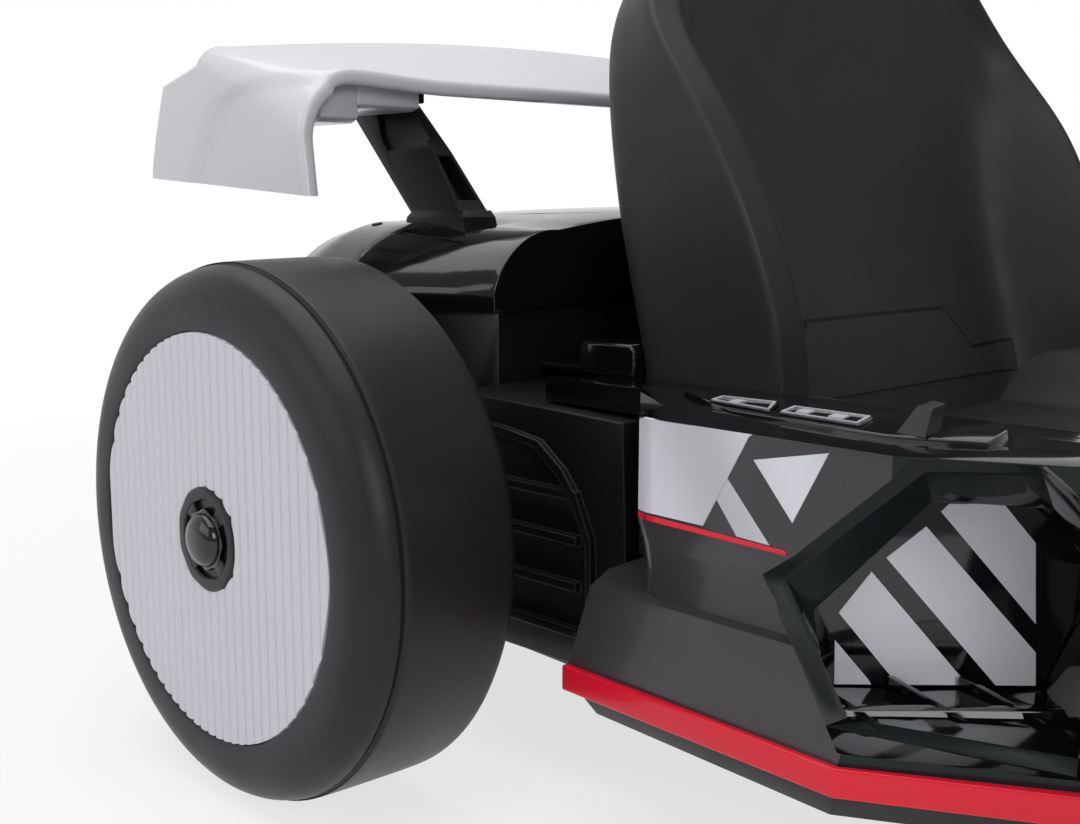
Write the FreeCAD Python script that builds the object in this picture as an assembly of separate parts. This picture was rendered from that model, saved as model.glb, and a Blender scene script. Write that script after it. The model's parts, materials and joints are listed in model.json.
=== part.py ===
import FreeCAD, Part
import math
import os

# Child's electric drift kart. Millimetres, +Z up, +X the kart's left, -Y forward,
# origin on the ground below the middle of the whole kart.

# Stance
REAR_AXLE_Y = 346.0
WHEELBASE = 700.0
FRONT_AXLE_Y = REAR_AXLE_Y - WHEELBASE
PIN_GAP = 0.05
SEAT_GAP = 0.3

# Rear wheels, with slick plastic tyres and ribbed covers
REAR_TYRE_R = 137.0
REAR_TYRE_W = 90.0
REAR_SIDEWALL = 34.0
REAR_COVER_R = REAR_TYRE_R - REAR_SIDEWALL
REAR_COVER_X = 392.0
REAR_CAP_OUT = 8.0
REAR_RIBS = 28

# Front wheels
FRONT_TYRE_R = 110.0
FRONT_TYRE_W = 62.0
FRONT_SIDEWALL = 30.0
FRONT_COVER_R = FRONT_TYRE_R - FRONT_SIDEWALL
FRONT_COVER_X = 362.0
FRONT_CAP_OUT = 7.0
FRONT_RIBS = 22

# Cover ribs and hub, like on all four wheels
RIB_DEPTH = 1.0
COVER_T = 4.0
HUB_R = 26.0
HUB_SOCKET_R = 16.0
HUB_DEPTH = 7.0
DISH_DEPTH = 34.0
BARREL_WALL = 5.0
BEARING_R = 22.0

# Axles, kingpins and track rod
AXLE_R = 8.0
STUB_R = 7.0
KINGPIN_X = 264.0
KINGPIN_R = 6.0
KNUCKLE_R = 13.0
KNUCKLE_H = 42.0
YOKE_T = 7.0
BEAM_W = 30.0
BEAM_H = 24.0
BEAM_FOOT_X = 70.0
ARM_LENGTH = 62.0
ARM_T = 8.0
ARM_W = 16.0
ROD_R = 6.0
ROD_EYE_R = 9.0
ROD_PIN_R = 4.0

# Floor pan
PAN_Z = 50.0
PAN_T = 16.0
PAN_TOP = PAN_Z + PAN_T

# Side pods
POD_TOP_Z = 214.0
POD_TOP_INNER_Z = 208.0
POD_PANEL_X = 300.0
POD_PANEL_Z = 166.0
CREASE_Z = 131.0
STRIPE_Z = 78.0
STRIPE_H = 12.0
STRIPE_T = 9.0
WELL_X = 248.0
WELL_RIM = 4.0

# Intake pocket in the pod's front corner, seen square on from 45 degrees
INTAKE_X = 303.0
INTAKE_FORWARD = 300.0
INTAKE_TURN = 45.0
INTAKE_LEAN = 0.54
INTAKE_EDGE = 20.0
INTAKE_RIM = 6.0
INTAKE_LIP = 34.0
INTAKE_DEPTH = 56.0
PLATE_T = 3.0
FIN_T = 3.0

# Switch tray let into the pod's deck
TRAY_BASE_Z = 206.0
TRAY_TOP_Z = 212.5
BUTTON_H = 1.5
LEVER_H = 10.5

# Seat
SEAT_TOP_Z = 520.0
SEAT_PAN_Z = 172.0

# Drive box under the cover
BOX_FRONT_X = 213.0
BOX_REAR_X = 262.0
BOX_FORWARD = 18.0
BOX_BACK = 148.0
BOX_Z = 66.0
BOX_TOP_Z = 240.0
BOX_WALL = 4.0
COVER_SKIRT = 12.0
COVER_TOP_Z = 299.0
FOOT_TOP_Z = 297.0

# Wing
WING_HALF = 300.0
WING_T = 9.0
WING_ROUND = 40.0
WING_FRONT = 49.0
WING_CHORD = 101.0
WING_FRONT_Z = 370.0
WING_SLOPE = 0.267
WING_CROWN = 18.0
WING_LEG_Z = 296.0
STRUT_X = 200.0
STRUT_W = 22.0
STRUT_HEAD_W = 8.5
STRUT_RECESS = 3.0
STRUT_WALL = 2.5
STRUT_TOP_Z = WING_FRONT_Z - WING_T
MOUNT_OUT_X = 276.0

# Steering column and wheel
COLUMN_RAKE = 50.0
COLUMN_FOOT = 12.5
WHEEL_HUB_Z = 392.0
RIM_R = 112.0
RIM_TUBE_R = 12.0
RIM_FLAT = 84.0
SHAFT_R = 8.0
SLEEVE_R = 19.0
SLEEVE_START = 40.0
WHEEL_HUB_BACK = 14.0

# Nose and bumper, measured forward from the front axle
NOSE_FORWARD = 158.0
NOSE_BACK = 22.0
BUMPER_DEPTH = 48.0
BUMPER_HALF = 300.0
BUMPER_Z = 62.0
BUMPER_H = 62.0

os.makedirs("parts", exist_ok=True)


def vec(x, y, z):
    return FreeCAD.Vector(x, y, z)


def from_axle(y):
    """A place measured from the rear axle, forward negative."""
    return REAR_AXLE_Y + y


def from_front(y):
    """A place measured from the front axle, forward negative."""
    return FRONT_AXLE_Y + y


def outline(points):
    return Part.Face(Part.makePolygon(points + points[:1]))


def slab_x(points, x0, x1):
    """Prism along X from (y, z) points."""
    return outline([vec(x0, y, z) for y, z in points]).extrude(vec(x1 - x0, 0, 0))


def side_slab(points, x0, x1):
    """Prism along X from (y behind the rear axle, z) points."""
    return slab_x([(from_axle(y), z) for y, z in points], x0, x1)


def slab_y(points, y0, y1):
    """Prism along Y from (x, z) points."""
    return outline([vec(x, y0, z) for x, z in points]).extrude(vec(0, y1 - y0, 0))


def slab_z(points, z0, z1):
    """Prism along Z from (x, y) points."""
    return outline([vec(x, y, z0) for x, y in points]).extrude(vec(0, 0, z1 - z0))


def block(x0, x1, y0, y1, z0, z1):
    return Part.makeBox(x1 - x0, y1 - y0, z1 - z0, vec(x0, y0, z0))


def both_sides(half):
    """A closed outline from its half: the rows, then the same rows mirrored, last one first."""
    return half + [(-row[0],) + tuple(row[1:]) for row in reversed(half)]


def ruled(sections):
    """Straight-sided loft through closed polygons with equal point counts."""
    wires = [Part.makePolygon(points + points[:1]) for points in sections]
    return Part.makeLoft(wires, True, True)


def ruled_wires(wires):
    return Part.makeLoft(wires, True, True)


def curved_wire(rows):
    """Closed wire from rows of (point,) for a line to it, or (point, middle) for an arc through the middle."""
    edges = []
    here = rows[-1][0]
    for row in rows:
        if len(row) == 2:
            edges.append(Part.Arc(here, row[1], row[0]).toShape())
        else:
            edges.append(Part.makeLine(here, row[0]))
        here = row[0]
    return Part.Wire(edges)


def rod(start, end, radius):
    line = end - start
    return Part.makeCylinder(radius, line.Length, start, line)


def mirrored(shape):
    return shape.mirror(vec(0, 0, 0), vec(1, 0, 0))


def fused(shapes):
    return shapes[0].multiFuse(shapes[1:]).removeSplitter()


def save(name, shape):
    shape.exportStep("parts/" + name + ".step")


def save_pair(name, right_shape):
    save(name + "_right", right_shape)
    save(name + "_left", mirrored(right_shape))


def turned(profile, cover_x, axle_y, axle_z):
    """Revolve a closed profile of (inboard, radius) rows about a wheel's axle, on the right side."""
    points = [vec(inboard - cover_x, axle_y, axle_z + radius) for inboard, radius in profile]
    return outline(points).revolve(vec(0, axle_y, axle_z), vec(1, 0, 0), 360)


# Wheels

def tyre(cover_x, axle_y, radius, width, sidewall):
    """Slick tyre: bulging outer wall, moulded groove, slightly crowned tread and a round inner shoulder."""
    bead = radius - sidewall + SEAT_GAP / 2
    profile = [                      # inboard of the cover, radius
        (0.5, bead),
        (1.8, bead + 0.55 * sidewall),
        (16.5, radius - 2.8),
        (20.0, radius - 1.0),
        (width - 12.0, radius),
        (width - 2.5, radius - 8.0),
        (width, bead),
    ]
    return turned(profile, cover_x, axle_y, radius)


def rim(cover_x, axle_y, radius, width, cover_r, cap_out, bore_r, hub_in):
    """Wheel body behind the ribbed cover: barrel, open dish inside, hub socket, domed cap and bearing boss."""
    dish_r = cover_r - BARREL_WALL
    profile = [                      # inboard of the cover, radius
        (RIB_DEPTH, cover_r),
        (RIB_DEPTH, HUB_R),
        (0.0, HUB_R),
        (0.0, HUB_R - 2.0),
        (HUB_DEPTH, HUB_R - 4.0),
        (HUB_DEPTH, HUB_SOCKET_R),
        (2.0 - cap_out, HUB_SOCKET_R - 2.0),
        (-cap_out, HUB_SOCKET_R / 2),
        (-cap_out, 0.01),
        (HUB_DEPTH, 0.01),
        (HUB_DEPTH, bore_r),
        (hub_in, bore_r),
        (hub_in, BEARING_R),
        (width - DISH_DEPTH, BEARING_R),
        (width - DISH_DEPTH, dish_r),
        (width - 1.0, dish_r),
        (width - 1.0, cover_r),
    ]
    return turned(profile, cover_x, axle_y, radius)


def rib_sheet(cover_x, axle_y, axle_z, cover_r, count):
    """The cover's upright ribs: a wavy sheet as one prism, trimmed to a ring round the hub."""
    pitch = 2 * cover_r / count
    start = axle_y - cover_r
    crests = []
    for i in range(count):
        base = start + i * pitch
        crests += [(base + 0.10 * pitch, RIB_DEPTH), (base + 0.35 * pitch, 0.0),
                   (base + 0.65 * pitch, 0.0), (base + 0.90 * pitch, RIB_DEPTH)]
    back = RIB_DEPTH + COVER_T / 2
    rows = [(start, back), (start, RIB_DEPTH)] + crests
    rows += [(start + 2 * cover_r, RIB_DEPTH), (start + 2 * cover_r, back)]
    face = outline([vec(depth - cover_x, y, axle_z - cover_r) for y, depth in rows])
    sheet = face.extrude(vec(0, 0, 2 * cover_r))
    disc = Part.makeCylinder(cover_r, back, vec(-cover_x, axle_y, axle_z), vec(1, 0, 0))
    hole = Part.makeCylinder(HUB_R, back, vec(-cover_x, axle_y, axle_z), vec(1, 0, 0))
    return sheet.common(disc).cut(hole)


def build_wheels():
    save_pair("rear_tyre", tyre(REAR_COVER_X, REAR_AXLE_Y, REAR_TYRE_R, REAR_TYRE_W, REAR_SIDEWALL))
    save_pair("front_tyre", tyre(FRONT_COVER_X, FRONT_AXLE_Y, FRONT_TYRE_R, FRONT_TYRE_W, FRONT_SIDEWALL))
    rear_hub = REAR_COVER_X - BOX_REAR_X - 8.0
    rear = rim(REAR_COVER_X, REAR_AXLE_Y, REAR_TYRE_R, REAR_TYRE_W, REAR_COVER_R, REAR_CAP_OUT,
               AXLE_R + PIN_GAP, rear_hub)
    rear_ribs = rib_sheet(REAR_COVER_X, REAR_AXLE_Y, REAR_TYRE_R, REAR_COVER_R, REAR_RIBS)
    save_pair("rear_rim", fused([rear, rear_ribs]))
    front = rim(FRONT_COVER_X, FRONT_AXLE_Y, FRONT_TYRE_R, FRONT_TYRE_W, FRONT_COVER_R, FRONT_CAP_OUT,
                STUB_R + PIN_GAP, FRONT_TYRE_W)
    front_ribs = rib_sheet(FRONT_COVER_X, FRONT_AXLE_Y, FRONT_TYRE_R, FRONT_COVER_R, FRONT_RIBS)
    save_pair("front_rim", fused([front, front_ribs]))


# Axles and steering

def build_rear_axle():
    reach = REAR_COVER_X - HUB_DEPTH
    save("rear_axle", rod(vec(-reach, REAR_AXLE_Y, REAR_TYRE_R), vec(reach, REAR_AXLE_Y, REAR_TYRE_R), AXLE_R))


def yoke():
    """Right end of the front beam: a fork with the kingpin fixed in it."""
    half = KNUCKLE_H / 2 + SEAT_GAP
    mid = FRONT_TYRE_R
    reach = KNUCKLE_R + 1.0
    web_x = -KINGPIN_X + KNUCKLE_R + 6.0
    pieces = []
    for low in (mid - half - YOKE_T, mid + half):
        pieces.append(block(-KINGPIN_X, web_x, FRONT_AXLE_Y - reach, FRONT_AXLE_Y + reach, low, low + YOKE_T))
        pieces.append(Part.makeCylinder(reach, YOKE_T, vec(-KINGPIN_X, FRONT_AXLE_Y, low)))
    pieces.append(block(web_x, web_x + YOKE_T, FRONT_AXLE_Y - reach, FRONT_AXLE_Y + reach,
                        mid - half - YOKE_T, mid + half + YOKE_T))
    pin_low = mid - half - YOKE_T - 4.0
    pieces.append(Part.makeCylinder(KINGPIN_R, 2 * (mid - pin_low), vec(-KINGPIN_X, FRONT_AXLE_Y, pin_low)))
    return fused(pieces)


def build_front_beam():
    end = KINGPIN_X - KNUCKLE_R - 6.0
    low = FRONT_TYRE_R - BEAM_H / 2
    pieces = [block(-end, end, FRONT_AXLE_Y - BEAM_W / 2, FRONT_AXLE_Y + BEAM_W / 2, low, low + BEAM_H)]
    for x in (-BEAM_FOOT_X, BEAM_FOOT_X):
        foot = [(x - 26.0, PAN_TOP), (x + 26.0, PAN_TOP), (x + 16.0, low), (x - 16.0, low)]
        pieces.append(slab_y(foot, FRONT_AXLE_Y - 22.0, FRONT_AXLE_Y + 22.0))
    right = yoke()
    save("front_beam", fused(pieces + [right, mirrored(right)]))


def knuckle():
    """Right knuckle: kingpin barrel, stub axle and a forward steering arm with its rod pin."""
    mid = FRONT_TYRE_R
    low = mid - KNUCKLE_H / 2
    barrel = Part.makeCylinder(KNUCKLE_R, KNUCKLE_H, vec(-KINGPIN_X, FRONT_AXLE_Y, low))
    hub = vec(-KINGPIN_X, FRONT_AXLE_Y, mid)
    stub = rod(hub, vec(HUB_DEPTH - FRONT_COVER_X, FRONT_AXLE_Y, mid), STUB_R)
    collar = rod(hub, vec(FRONT_TYRE_W + SEAT_GAP - FRONT_COVER_X, FRONT_AXLE_Y, mid), STUB_R + 5.0)
    arm_z = low + 2.0
    arm_y = FRONT_AXLE_Y - ARM_LENGTH
    arm = block(-KINGPIN_X - ARM_W / 2, -KINGPIN_X + ARM_W / 2, arm_y, FRONT_AXLE_Y, arm_z, arm_z + ARM_T)
    eye = Part.makeCylinder(ROD_EYE_R, ARM_T, vec(-KINGPIN_X, arm_y, arm_z))
    pin = Part.makeCylinder(ROD_PIN_R, 2 * ROD_R + 4.0, vec(-KINGPIN_X, arm_y, arm_z + ARM_T))
    bore = Part.makeCylinder(KINGPIN_R + PIN_GAP, KNUCKLE_H, vec(-KINGPIN_X, FRONT_AXLE_Y, low))
    return fused([barrel, stub, collar, arm, eye, pin]).cut(bore)


def build_tie_rod():
    arm_y = FRONT_AXLE_Y - ARM_LENGTH
    low = FRONT_TYRE_R - KNUCKLE_H / 2 + 2.0 + ARM_T + SEAT_GAP
    mid = low + ROD_R
    pieces = [rod(vec(-KINGPIN_X, arm_y, mid), vec(KINGPIN_X, arm_y, mid), ROD_R)]
    bores = []
    for x in (-KINGPIN_X, KINGPIN_X):
        pieces.append(Part.makeCylinder(ROD_EYE_R, 2 * ROD_R, vec(x, arm_y, low)))
        bores.append(Part.makeCylinder(ROD_PIN_R + PIN_GAP, 2 * ROD_R, vec(x, arm_y, low)))
    bar = fused(pieces)
    for bore in bores:
        bar = bar.cut(bore)
    save("tie_rod", bar)


def beam_top():
    return FRONT_TYRE_R + BEAM_H / 2


def column_point(along):
    """A point on the column's axis, measured down from the wheel's hub."""
    rake = math.radians(COLUMN_RAKE)
    hub_y = from_front(-COLUMN_FOOT) + (WHEEL_HUB_Z - beam_top()) / math.tan(rake)
    return vec(0, hub_y - along * math.cos(rake), WHEEL_HUB_Z - along * math.sin(rake))


def tilted(shape):
    """Lay a shape made flat at the origin, top of the wheel towards +Y, into the wheel's plane."""
    shape.rotate(vec(0, 0, 0), vec(0, 0, 1), 180)
    shape.rotate(vec(0, 0, 0), vec(1, 0, 0), -(90.0 - COLUMN_RAKE))
    shape.translate(column_point(0))
    return shape


def wheel_grip():
    """The steering wheel's rim: an eight-sided grip round a circle with a flat bottom."""
    flat_half = math.sqrt(RIM_R ** 2 - RIM_FLAT ** 2)
    section = []
    for i in range(8):
        turn = math.radians(45.0 * i + 22.5)
        section.append((RIM_TUBE_R * math.cos(turn), RIM_TUBE_R * math.sin(turn)))
    ring = outline([vec(RIM_R + across, 0, up) for across, up in section])
    ring = ring.revolve(vec(0, 0, 0), vec(0, 0, 1), 360)
    far = RIM_R + RIM_TUBE_R
    above = block(-far, far, -RIM_FLAT, far, -RIM_TUBE_R, RIM_TUBE_R)
    bar = outline([vec(-flat_half, across - RIM_FLAT, up) for across, up in section])
    bar = bar.extrude(vec(2 * flat_half, 0, 0))
    return fused([ring.common(above), bar])


def build_steering_wheel():
    hub = Part.makeCylinder(30.0, 22.0, vec(0, 0, -WHEEL_HUB_BACK))
    spokes = []
    for turn in (0, 180, 270):
        reach = RIM_FLAT if turn == 270 else RIM_R
        spoke = outline([vec(20.0, -17.0, -5.0), vec(reach, -11.0, -5.0), vec(reach, 11.0, -5.0),
                         vec(20.0, 17.0, -5.0)]).extrude(vec(0, 0, 8.0))
        spoke.rotate(vec(0, 0, 0), vec(0, 0, 1), turn)
        spokes.append(spoke)
    save("steering_wheel", tilted(fused([wheel_grip(), hub] + spokes)))


def build_column():
    reach = (WHEEL_HUB_Z - beam_top()) / math.sin(math.radians(COLUMN_RAKE))
    end = column_point(reach + SLEEVE_R)
    save("steering_shaft", rod(column_point(WHEEL_HUB_BACK), column_point(reach - SHAFT_R - 4.0), SHAFT_R))
    sleeve = rod(column_point(SLEEVE_START), end, SLEEVE_R)
    room = block(-SLEEVE_R, SLEEVE_R, end.y - SLEEVE_R, column_point(0).y + SLEEVE_R, beam_top(), WHEEL_HUB_Z)
    bore = rod(column_point(0), end, SHAFT_R + PIN_GAP)
    save("steering_column", sleeve.common(room).cut(bore))


# Floor pan and side panels

def build_floor_pan():
    half = [
        (180.0, from_axle(BOX_BACK)),
        (215.0, from_axle(-BOX_FORWARD)),
        (225.0, from_axle(-150.0)),
        (235.0, from_axle(-420.0)),
        (205.0, from_front(164.0)),
        (150.0, from_front(60.0)),
        (120.0, from_front(-NOSE_FORWARD)),
    ]
    save("floor_pan", slab_z(both_sides(half), PAN_Z, PAN_TOP))


def level(z, rows):
    """A pod's outline at one height from (outward, behind the rear axle) rows."""
    return [vec(-x, from_axle(y), z) for x, y in rows]


def intake_point(across, z, depth):
    turn = math.radians(INTAKE_TURN)
    return vec(-INTAKE_X + across * math.cos(turn) + depth * math.sin(turn),
               from_axle(-INTAKE_FORWARD) - across * math.sin(turn) + depth * math.cos(turn), z)


# Intake outlines: across the opening, height
INTAKE_OUTER = [(-18.4, 154.0), (27.1, 210.5), (70.0, 210.5), (140.0, 150.0), (89.0, 94.5), (5.6, 95.3)]
INTAKE_MOUTH = [(-8.9, 152.2), (38.0, 200.6), (75.3, 204.0), (132.0, 150.0), (91.1, 99.5), (15.0, 98.5)]
INTAKE_INNER = [(3.0, 138.0), (46.0, 186.0), (89.0, 186.0), (126.0, 150.0), (104.0, 98.0), (10.0, 99.0)]


def intake_level(rows, depth, lean):
    """An intake outline at one depth, its far side brought forward by the lean along the pod's corner."""
    return [intake_point(across, z, depth - lean * across) for across, z in rows]


def intake_cut():
    """The pocket: a chamfered rim, walls that close in to the lip, and a straight well behind."""
    front = intake_level(INTAKE_OUTER, -60.0, INTAKE_LEAN)
    edge = intake_level(INTAKE_OUTER, INTAKE_EDGE, INTAKE_LEAN)
    mouth = intake_level(INTAKE_MOUTH, INTAKE_EDGE + INTAKE_RIM, INTAKE_LEAN)
    lip = intake_level(INTAKE_INNER, INTAKE_LIP, INTAKE_LEAN / 2)
    back = intake_level(INTAKE_INNER, INTAKE_DEPTH, 0.0)
    return fused([ruled([front, edge]), ruled([edge, mouth]), ruled([mouth, lip]), ruled([lip, back])])


def intake_fin(across):
    """A low fin along the pocket's floor, up to the plate."""
    rows = [(10.0, 97.0), (14.0, 99.5), (26.0, 101.5), (38.0, 103.0), (50.0, 104.5), (50.0, 97.0)]
    near = [intake_point(across + 0.55 * (50.0 - depth), z, depth) for depth, z in rows]
    far = [point + intake_point(FIN_T, 0, 0) - intake_point(0, 0, 0) for point in near]
    return ruled([near, far])


def intake_bar():
    """A low bar across the pocket's floor, in front of the fins."""
    rows = [(18.0, 96.0), (20.0, 101.0), (26.0, 101.0), (28.0, 96.0)]
    return ruled([[intake_point(across, z, depth) for depth, z in rows] for across in (12.0, 102.0)])


def pod():
    """Right side pod: a lip, a lower band proud below the crease, a hollowed waist and a flat upper panel."""
    lower = ruled([
        level(PAN_TOP, [(288, -168), (299, -304), (229, -430), (184, -430), (184, -150), (262, -158)]),
        level(STRIPE_Z, [(294, -160), (306, -310), (236, -430), (184, -430), (184, -150), (270, -152)]),
        level(STRIPE_Z + STRIPE_H, [(297, -158), (306, -311), (236, -430), (184, -430), (184, -150), (270, -152)]),
        level(CREASE_Z, [(299, -174), (304, -322), (241, -430), (184, -430), (184, -150), (272, -160)]),
    ])
    waist = [(CREASE_Z, 293.5), (143.0, 293.0), (155.0, 296.0), (POD_PANEL_Z, POD_PANEL_X)]
    rounding = [(1.0, -206.0), (3.5, -200.0), (10.0, -194.0), (34.0, -188.0)]
    sections = []
    for z, x in waist + [(POD_TOP_Z - 3.0, POD_PANEL_X)]:
        rows = [(x, -326)] + [(x - inset, y) for inset, y in rounding]
        sections.append(level(z, rows + [(240, -150), (184, -150), (184, -430), (247, -430)]))
    upper = ruled(sections)
    base = POD_TOP_Z - 3.0
    deck = ruled([
        level(base, [(POD_PANEL_X, -330), (POD_PANEL_X, -206), (POD_PANEL_X - 3, -198), (236, -80), (182, -62),
                     (182, -430), (247, -430)]),
        [vec(-x, from_axle(y), z) for x, y, z in (
            (POD_PANEL_X - 3, -330, POD_TOP_Z), (POD_PANEL_X - 3, -206, POD_TOP_Z + 1),
            (POD_PANEL_X - 6, -198, POD_TOP_Z + 1), (234, -82, POD_TOP_Z), (182, -64, POD_TOP_Z),
            (182, -430, POD_TOP_Z), (245, -430, POD_TOP_Z))],
    ])
    apron = block(-236.0, -182.0, from_axle(-150.0), from_axle(-80.0), base - 12.0, base)
    slope = slab_y([(-262.0, POD_TOP_Z + 2.0), (-180.0, POD_TOP_Z + 2.0), (-180.0, POD_TOP_INNER_Z),
                    (-200.0, POD_TOP_INNER_Z)], from_axle(-440.0), from_axle(-40.0))
    body = fused([lower, upper, deck, apron]).cut(slope).cut(intake_cut())
    fins = [intake_fin(across) for across in (2.0, 38.0, 68.0)]
    return fused([body, intake_bar()] + fins)


def intake_plate():
    """Plate at the pocket's back, clear of the fins that rise in front of it."""
    middle = (66.0, 146.0)
    rows = []
    for across, z in INTAKE_INNER:
        rows.append((across + 0.012 * (middle[0] - across), z + 0.012 * (middle[1] - z)))
    return ruled([intake_level(rows, INTAKE_DEPTH - PLATE_T, 0.0), intake_level(rows, INTAKE_DEPTH, 0.0)])


def stripe():
    """Red band on the pod's skirt, proud of the panel, wrapped round the front corner."""
    half = STRIPE_T / 2
    centre = [(296.0, -157.0), (304.5, -311.0), (238.0, -430.0)]
    outer = [(x + half, y) for x, y in centre]
    inner = [(x - half, y) for x, y in reversed(centre)]
    rows = [(-x, from_axle(y)) for x, y in outer + inner]
    return slab_z(rows, STRIPE_Z, STRIPE_Z + STRIPE_H)


# Arch of the wheel well: behind the rear axle, height
WELL_ARCH = [(-20.0, 186.0), (-62.0, 185.0), (-90.0, 181.0), (-108.0, 168.0), (-119.0, 154.0), (-128.0, 135.0),
             (-129.0, 66.0), (-20.0, 66.0)]


def well():
    """Wall beside the rear wheel, with a raised arch and louvre ribs."""
    wall = side_slab([(-BOX_FORWARD, PAN_TOP), (-149.0, PAN_TOP), (-149.0, 120.0), (-146.0, 196.0),
                      (-BOX_FORWARD, 200.0)], -WELL_X, -184.0)
    inner = [(y + 4.0 if y < -20.0 else y, z - 4.0 if z > 66.0 else z) for y, z in WELL_ARCH]
    arch = side_slab(WELL_ARCH, -WELL_X - WELL_RIM, -WELL_X)
    arch = arch.cut(side_slab(inner, -WELL_X - WELL_RIM, -WELL_X))
    ribs = []
    for z in (82.0, 106.0, 130.0, 153.0):
        rib = [(-118.0, z), (-20.0, z), (-20.0, z + 5.0), (-118.0, z + 5.0)]
        ribs.append(side_slab(rib, -WELL_X - WELL_RIM, -WELL_X))
    return fused([wall, arch] + ribs)


def build_side_panels():
    body = pod()
    band = stripe()
    save("pod_right", body.cut(band).cut(slab_z(tray_plan(), TRAY_BASE_Z, POD_TOP_Z + 10.0)))
    save("pod_left", mirrored(body.cut(band)))
    save_pair("stripe", band)
    save_pair("intake_plate", intake_plate().cut(body))
    save_pair("well", well().cut(body))


def fairing():
    """Right leg fairing from the pod to the nose, rising forward."""
    nose_y = from_front(NOSE_BACK + 2.0)
    side = [(from_axle(-431.0), PAN_TOP), (from_axle(-431.0), POD_TOP_Z), (from_front(164.0), 232.0),
            (nose_y, 250.0), (nose_y, 150.0), (from_front(154.0), PAN_TOP)]
    plan = slab_z([(-236.0, from_axle(-430.0)), (-214.0, from_axle(-430.0)), (-186.0, nose_y),
                   (-200.0, nose_y)], PAN_TOP, 300.0)
    return slab_x(side, -236.0, -180.0).common(plan)


def build_fairings():
    save_pair("fairing", fairing())


# Seat

# Height, back in the middle, back at the side, front, half width at the back, half width at the front
SEAT_SHELL = [
    (PAN_TOP, -90.0, -92.0, -336.0, 174.0, 172.0),
    (176.0, -64.0, -92.0, -342.0, 177.0, 177.0),
    (200.0, -62.0, -93.0, -322.0, 178.0, 180.0),
    (208.0, -60.0, -93.0, -200.0, 178.0, 183.0),
    (250.0, -55.0, -85.0, -190.0, 179.0, 189.0),
    (300.0, -50.0, -73.0, -176.0, 182.0, 197.0),
    (350.0, -48.0, -70.0, -150.0, 184.0, 203.0),
    (388.0, -46.0, -68.0, -122.0, 182.0, 200.0),
    (412.0, -45.0, -66.0, -107.0, 168.0, 186.0),
    (445.0, -44.0, -62.0, -97.0, 140.0, 160.0),
    (482.0, -44.0, -58.0, -88.0, 108.0, 127.0),
    (508.0, -46.0, -56.0, -82.0, 76.0, 95.0),
    (SEAT_TOP_Z, -54.0, -58.0, -74.0, 52.0, 70.0),
]

# Height, backrest face in the middle, at the side, half width at the back, half width at the front
SEAT_HOLLOW = [
    (SEAT_PAN_Z, -158.0, -170.0, 134.0, 146.0),
    (214.0, -124.0, -136.0, 140.0, 158.0),
    (250.0, -108.0, -120.0, 143.0, 168.0),
    (300.0, -96.0, -110.0, 147.0, 176.0),
    (350.0, -88.0, -100.0, 149.0, 182.0),
    (388.0, -83.0, -92.0, 146.0, 178.0),
    (412.0, -80.0, -87.0, 134.0, 162.0),
    (445.0, -78.0, -82.0, 108.0, 132.0),
    (478.0, -76.0, -78.0, 76.0, 96.0),
    (500.0, -76.0, -76.0, 44.0, 60.0),
    (540.0, -76.0, -76.0, 20.0, 28.0),
]


def seat_shape():
    shell = []
    for z, middle, back, front, back_half, front_half in SEAT_SHELL:
        half = [(0.45 * back_half, middle), (back_half - 14.0, back + 6.0), (back_half, back - 4.0),
                (front_half, front + 12.0), (front_half - 8.0, front)]
        shell.append([vec(x, from_axle(y), z) for x, y in both_sides(half)])
    hollow = []
    for z, middle, side, back_half, front_half in SEAT_HOLLOW:
        half = [(0.5 * back_half, middle), (back_half, side), (front_half, side - 60.0), (front_half, -360.0)]
        hollow.append([vec(x, from_axle(y), z) for x, y in both_sides(half)])
    return ruled(shell).cut(ruled(hollow))


def build_seat():
    """The seat, with a low block behind each shoulder on a tongue from the drive box."""
    seat = seat_shape()
    save("seat", seat)
    rear = -BOX_FORWARD
    low = POD_TOP_INNER_Z - 2.0
    rows = [(-92.0, low), (rear, low), (rear, low + 5.0), (-50.0, low + 5.0), (-50.0, 222.0), (-53.0, 225.0),
            (-89.0, 225.0), (-92.0, 222.0)]
    right = side_slab(rows, -181.0, -146.0).cut(seat)
    save("seat_brackets", Part.makeCompound([right, mirrored(right)]))


# Drive box, cover and what is inside

def box_plan(inset):
    half = [(BOX_FRONT_X - inset, from_axle(-BOX_FORWARD + inset)), (BOX_REAR_X - inset, from_axle(58.0)),
            (BOX_REAR_X - inset, from_axle(BOX_BACK - 30.0)),
            (BOX_REAR_X - 40.0 - inset, from_axle(BOX_BACK - inset))]
    return both_sides(half)


def axle_bore():
    reach = REAR_COVER_X
    return rod(vec(-reach, REAR_AXLE_Y, REAR_TYRE_R), vec(reach, REAR_AXLE_Y, REAR_TYRE_R), AXLE_R + PIN_GAP)


def build_drive_box():
    outer = slab_z(box_plan(0.0), BOX_Z, BOX_TOP_Z)
    inner = slab_z(box_plan(BOX_WALL), BOX_Z + BOX_WALL, BOX_TOP_Z)
    save("drive_box", outer.cut(inner).cut(axle_bore()))


# Cover sections: behind the axle, half width, shoulder out, shoulder height, crown height
COVER_SECTIONS = [
    (-19.0, 217.0, 166.0, 286.0, COVER_TOP_Z - 1.0),
    (20.0, 241.0, 178.0, 288.0, COVER_TOP_Z),
    (60.0, 265.0, 192.0, 291.0, COVER_TOP_Z),
    (100.0, 265.0, 194.0, 290.0, COVER_TOP_Z - 1.0),
    (124.0, 260.0, 191.0, 285.0, COVER_TOP_Z - 6.0),
    (142.0, 245.0, 186.0, 275.0, COVER_TOP_Z - 17.0),
    (152.0, 226.0, 178.0, 262.0, COVER_TOP_Z - 31.0),
]


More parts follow.
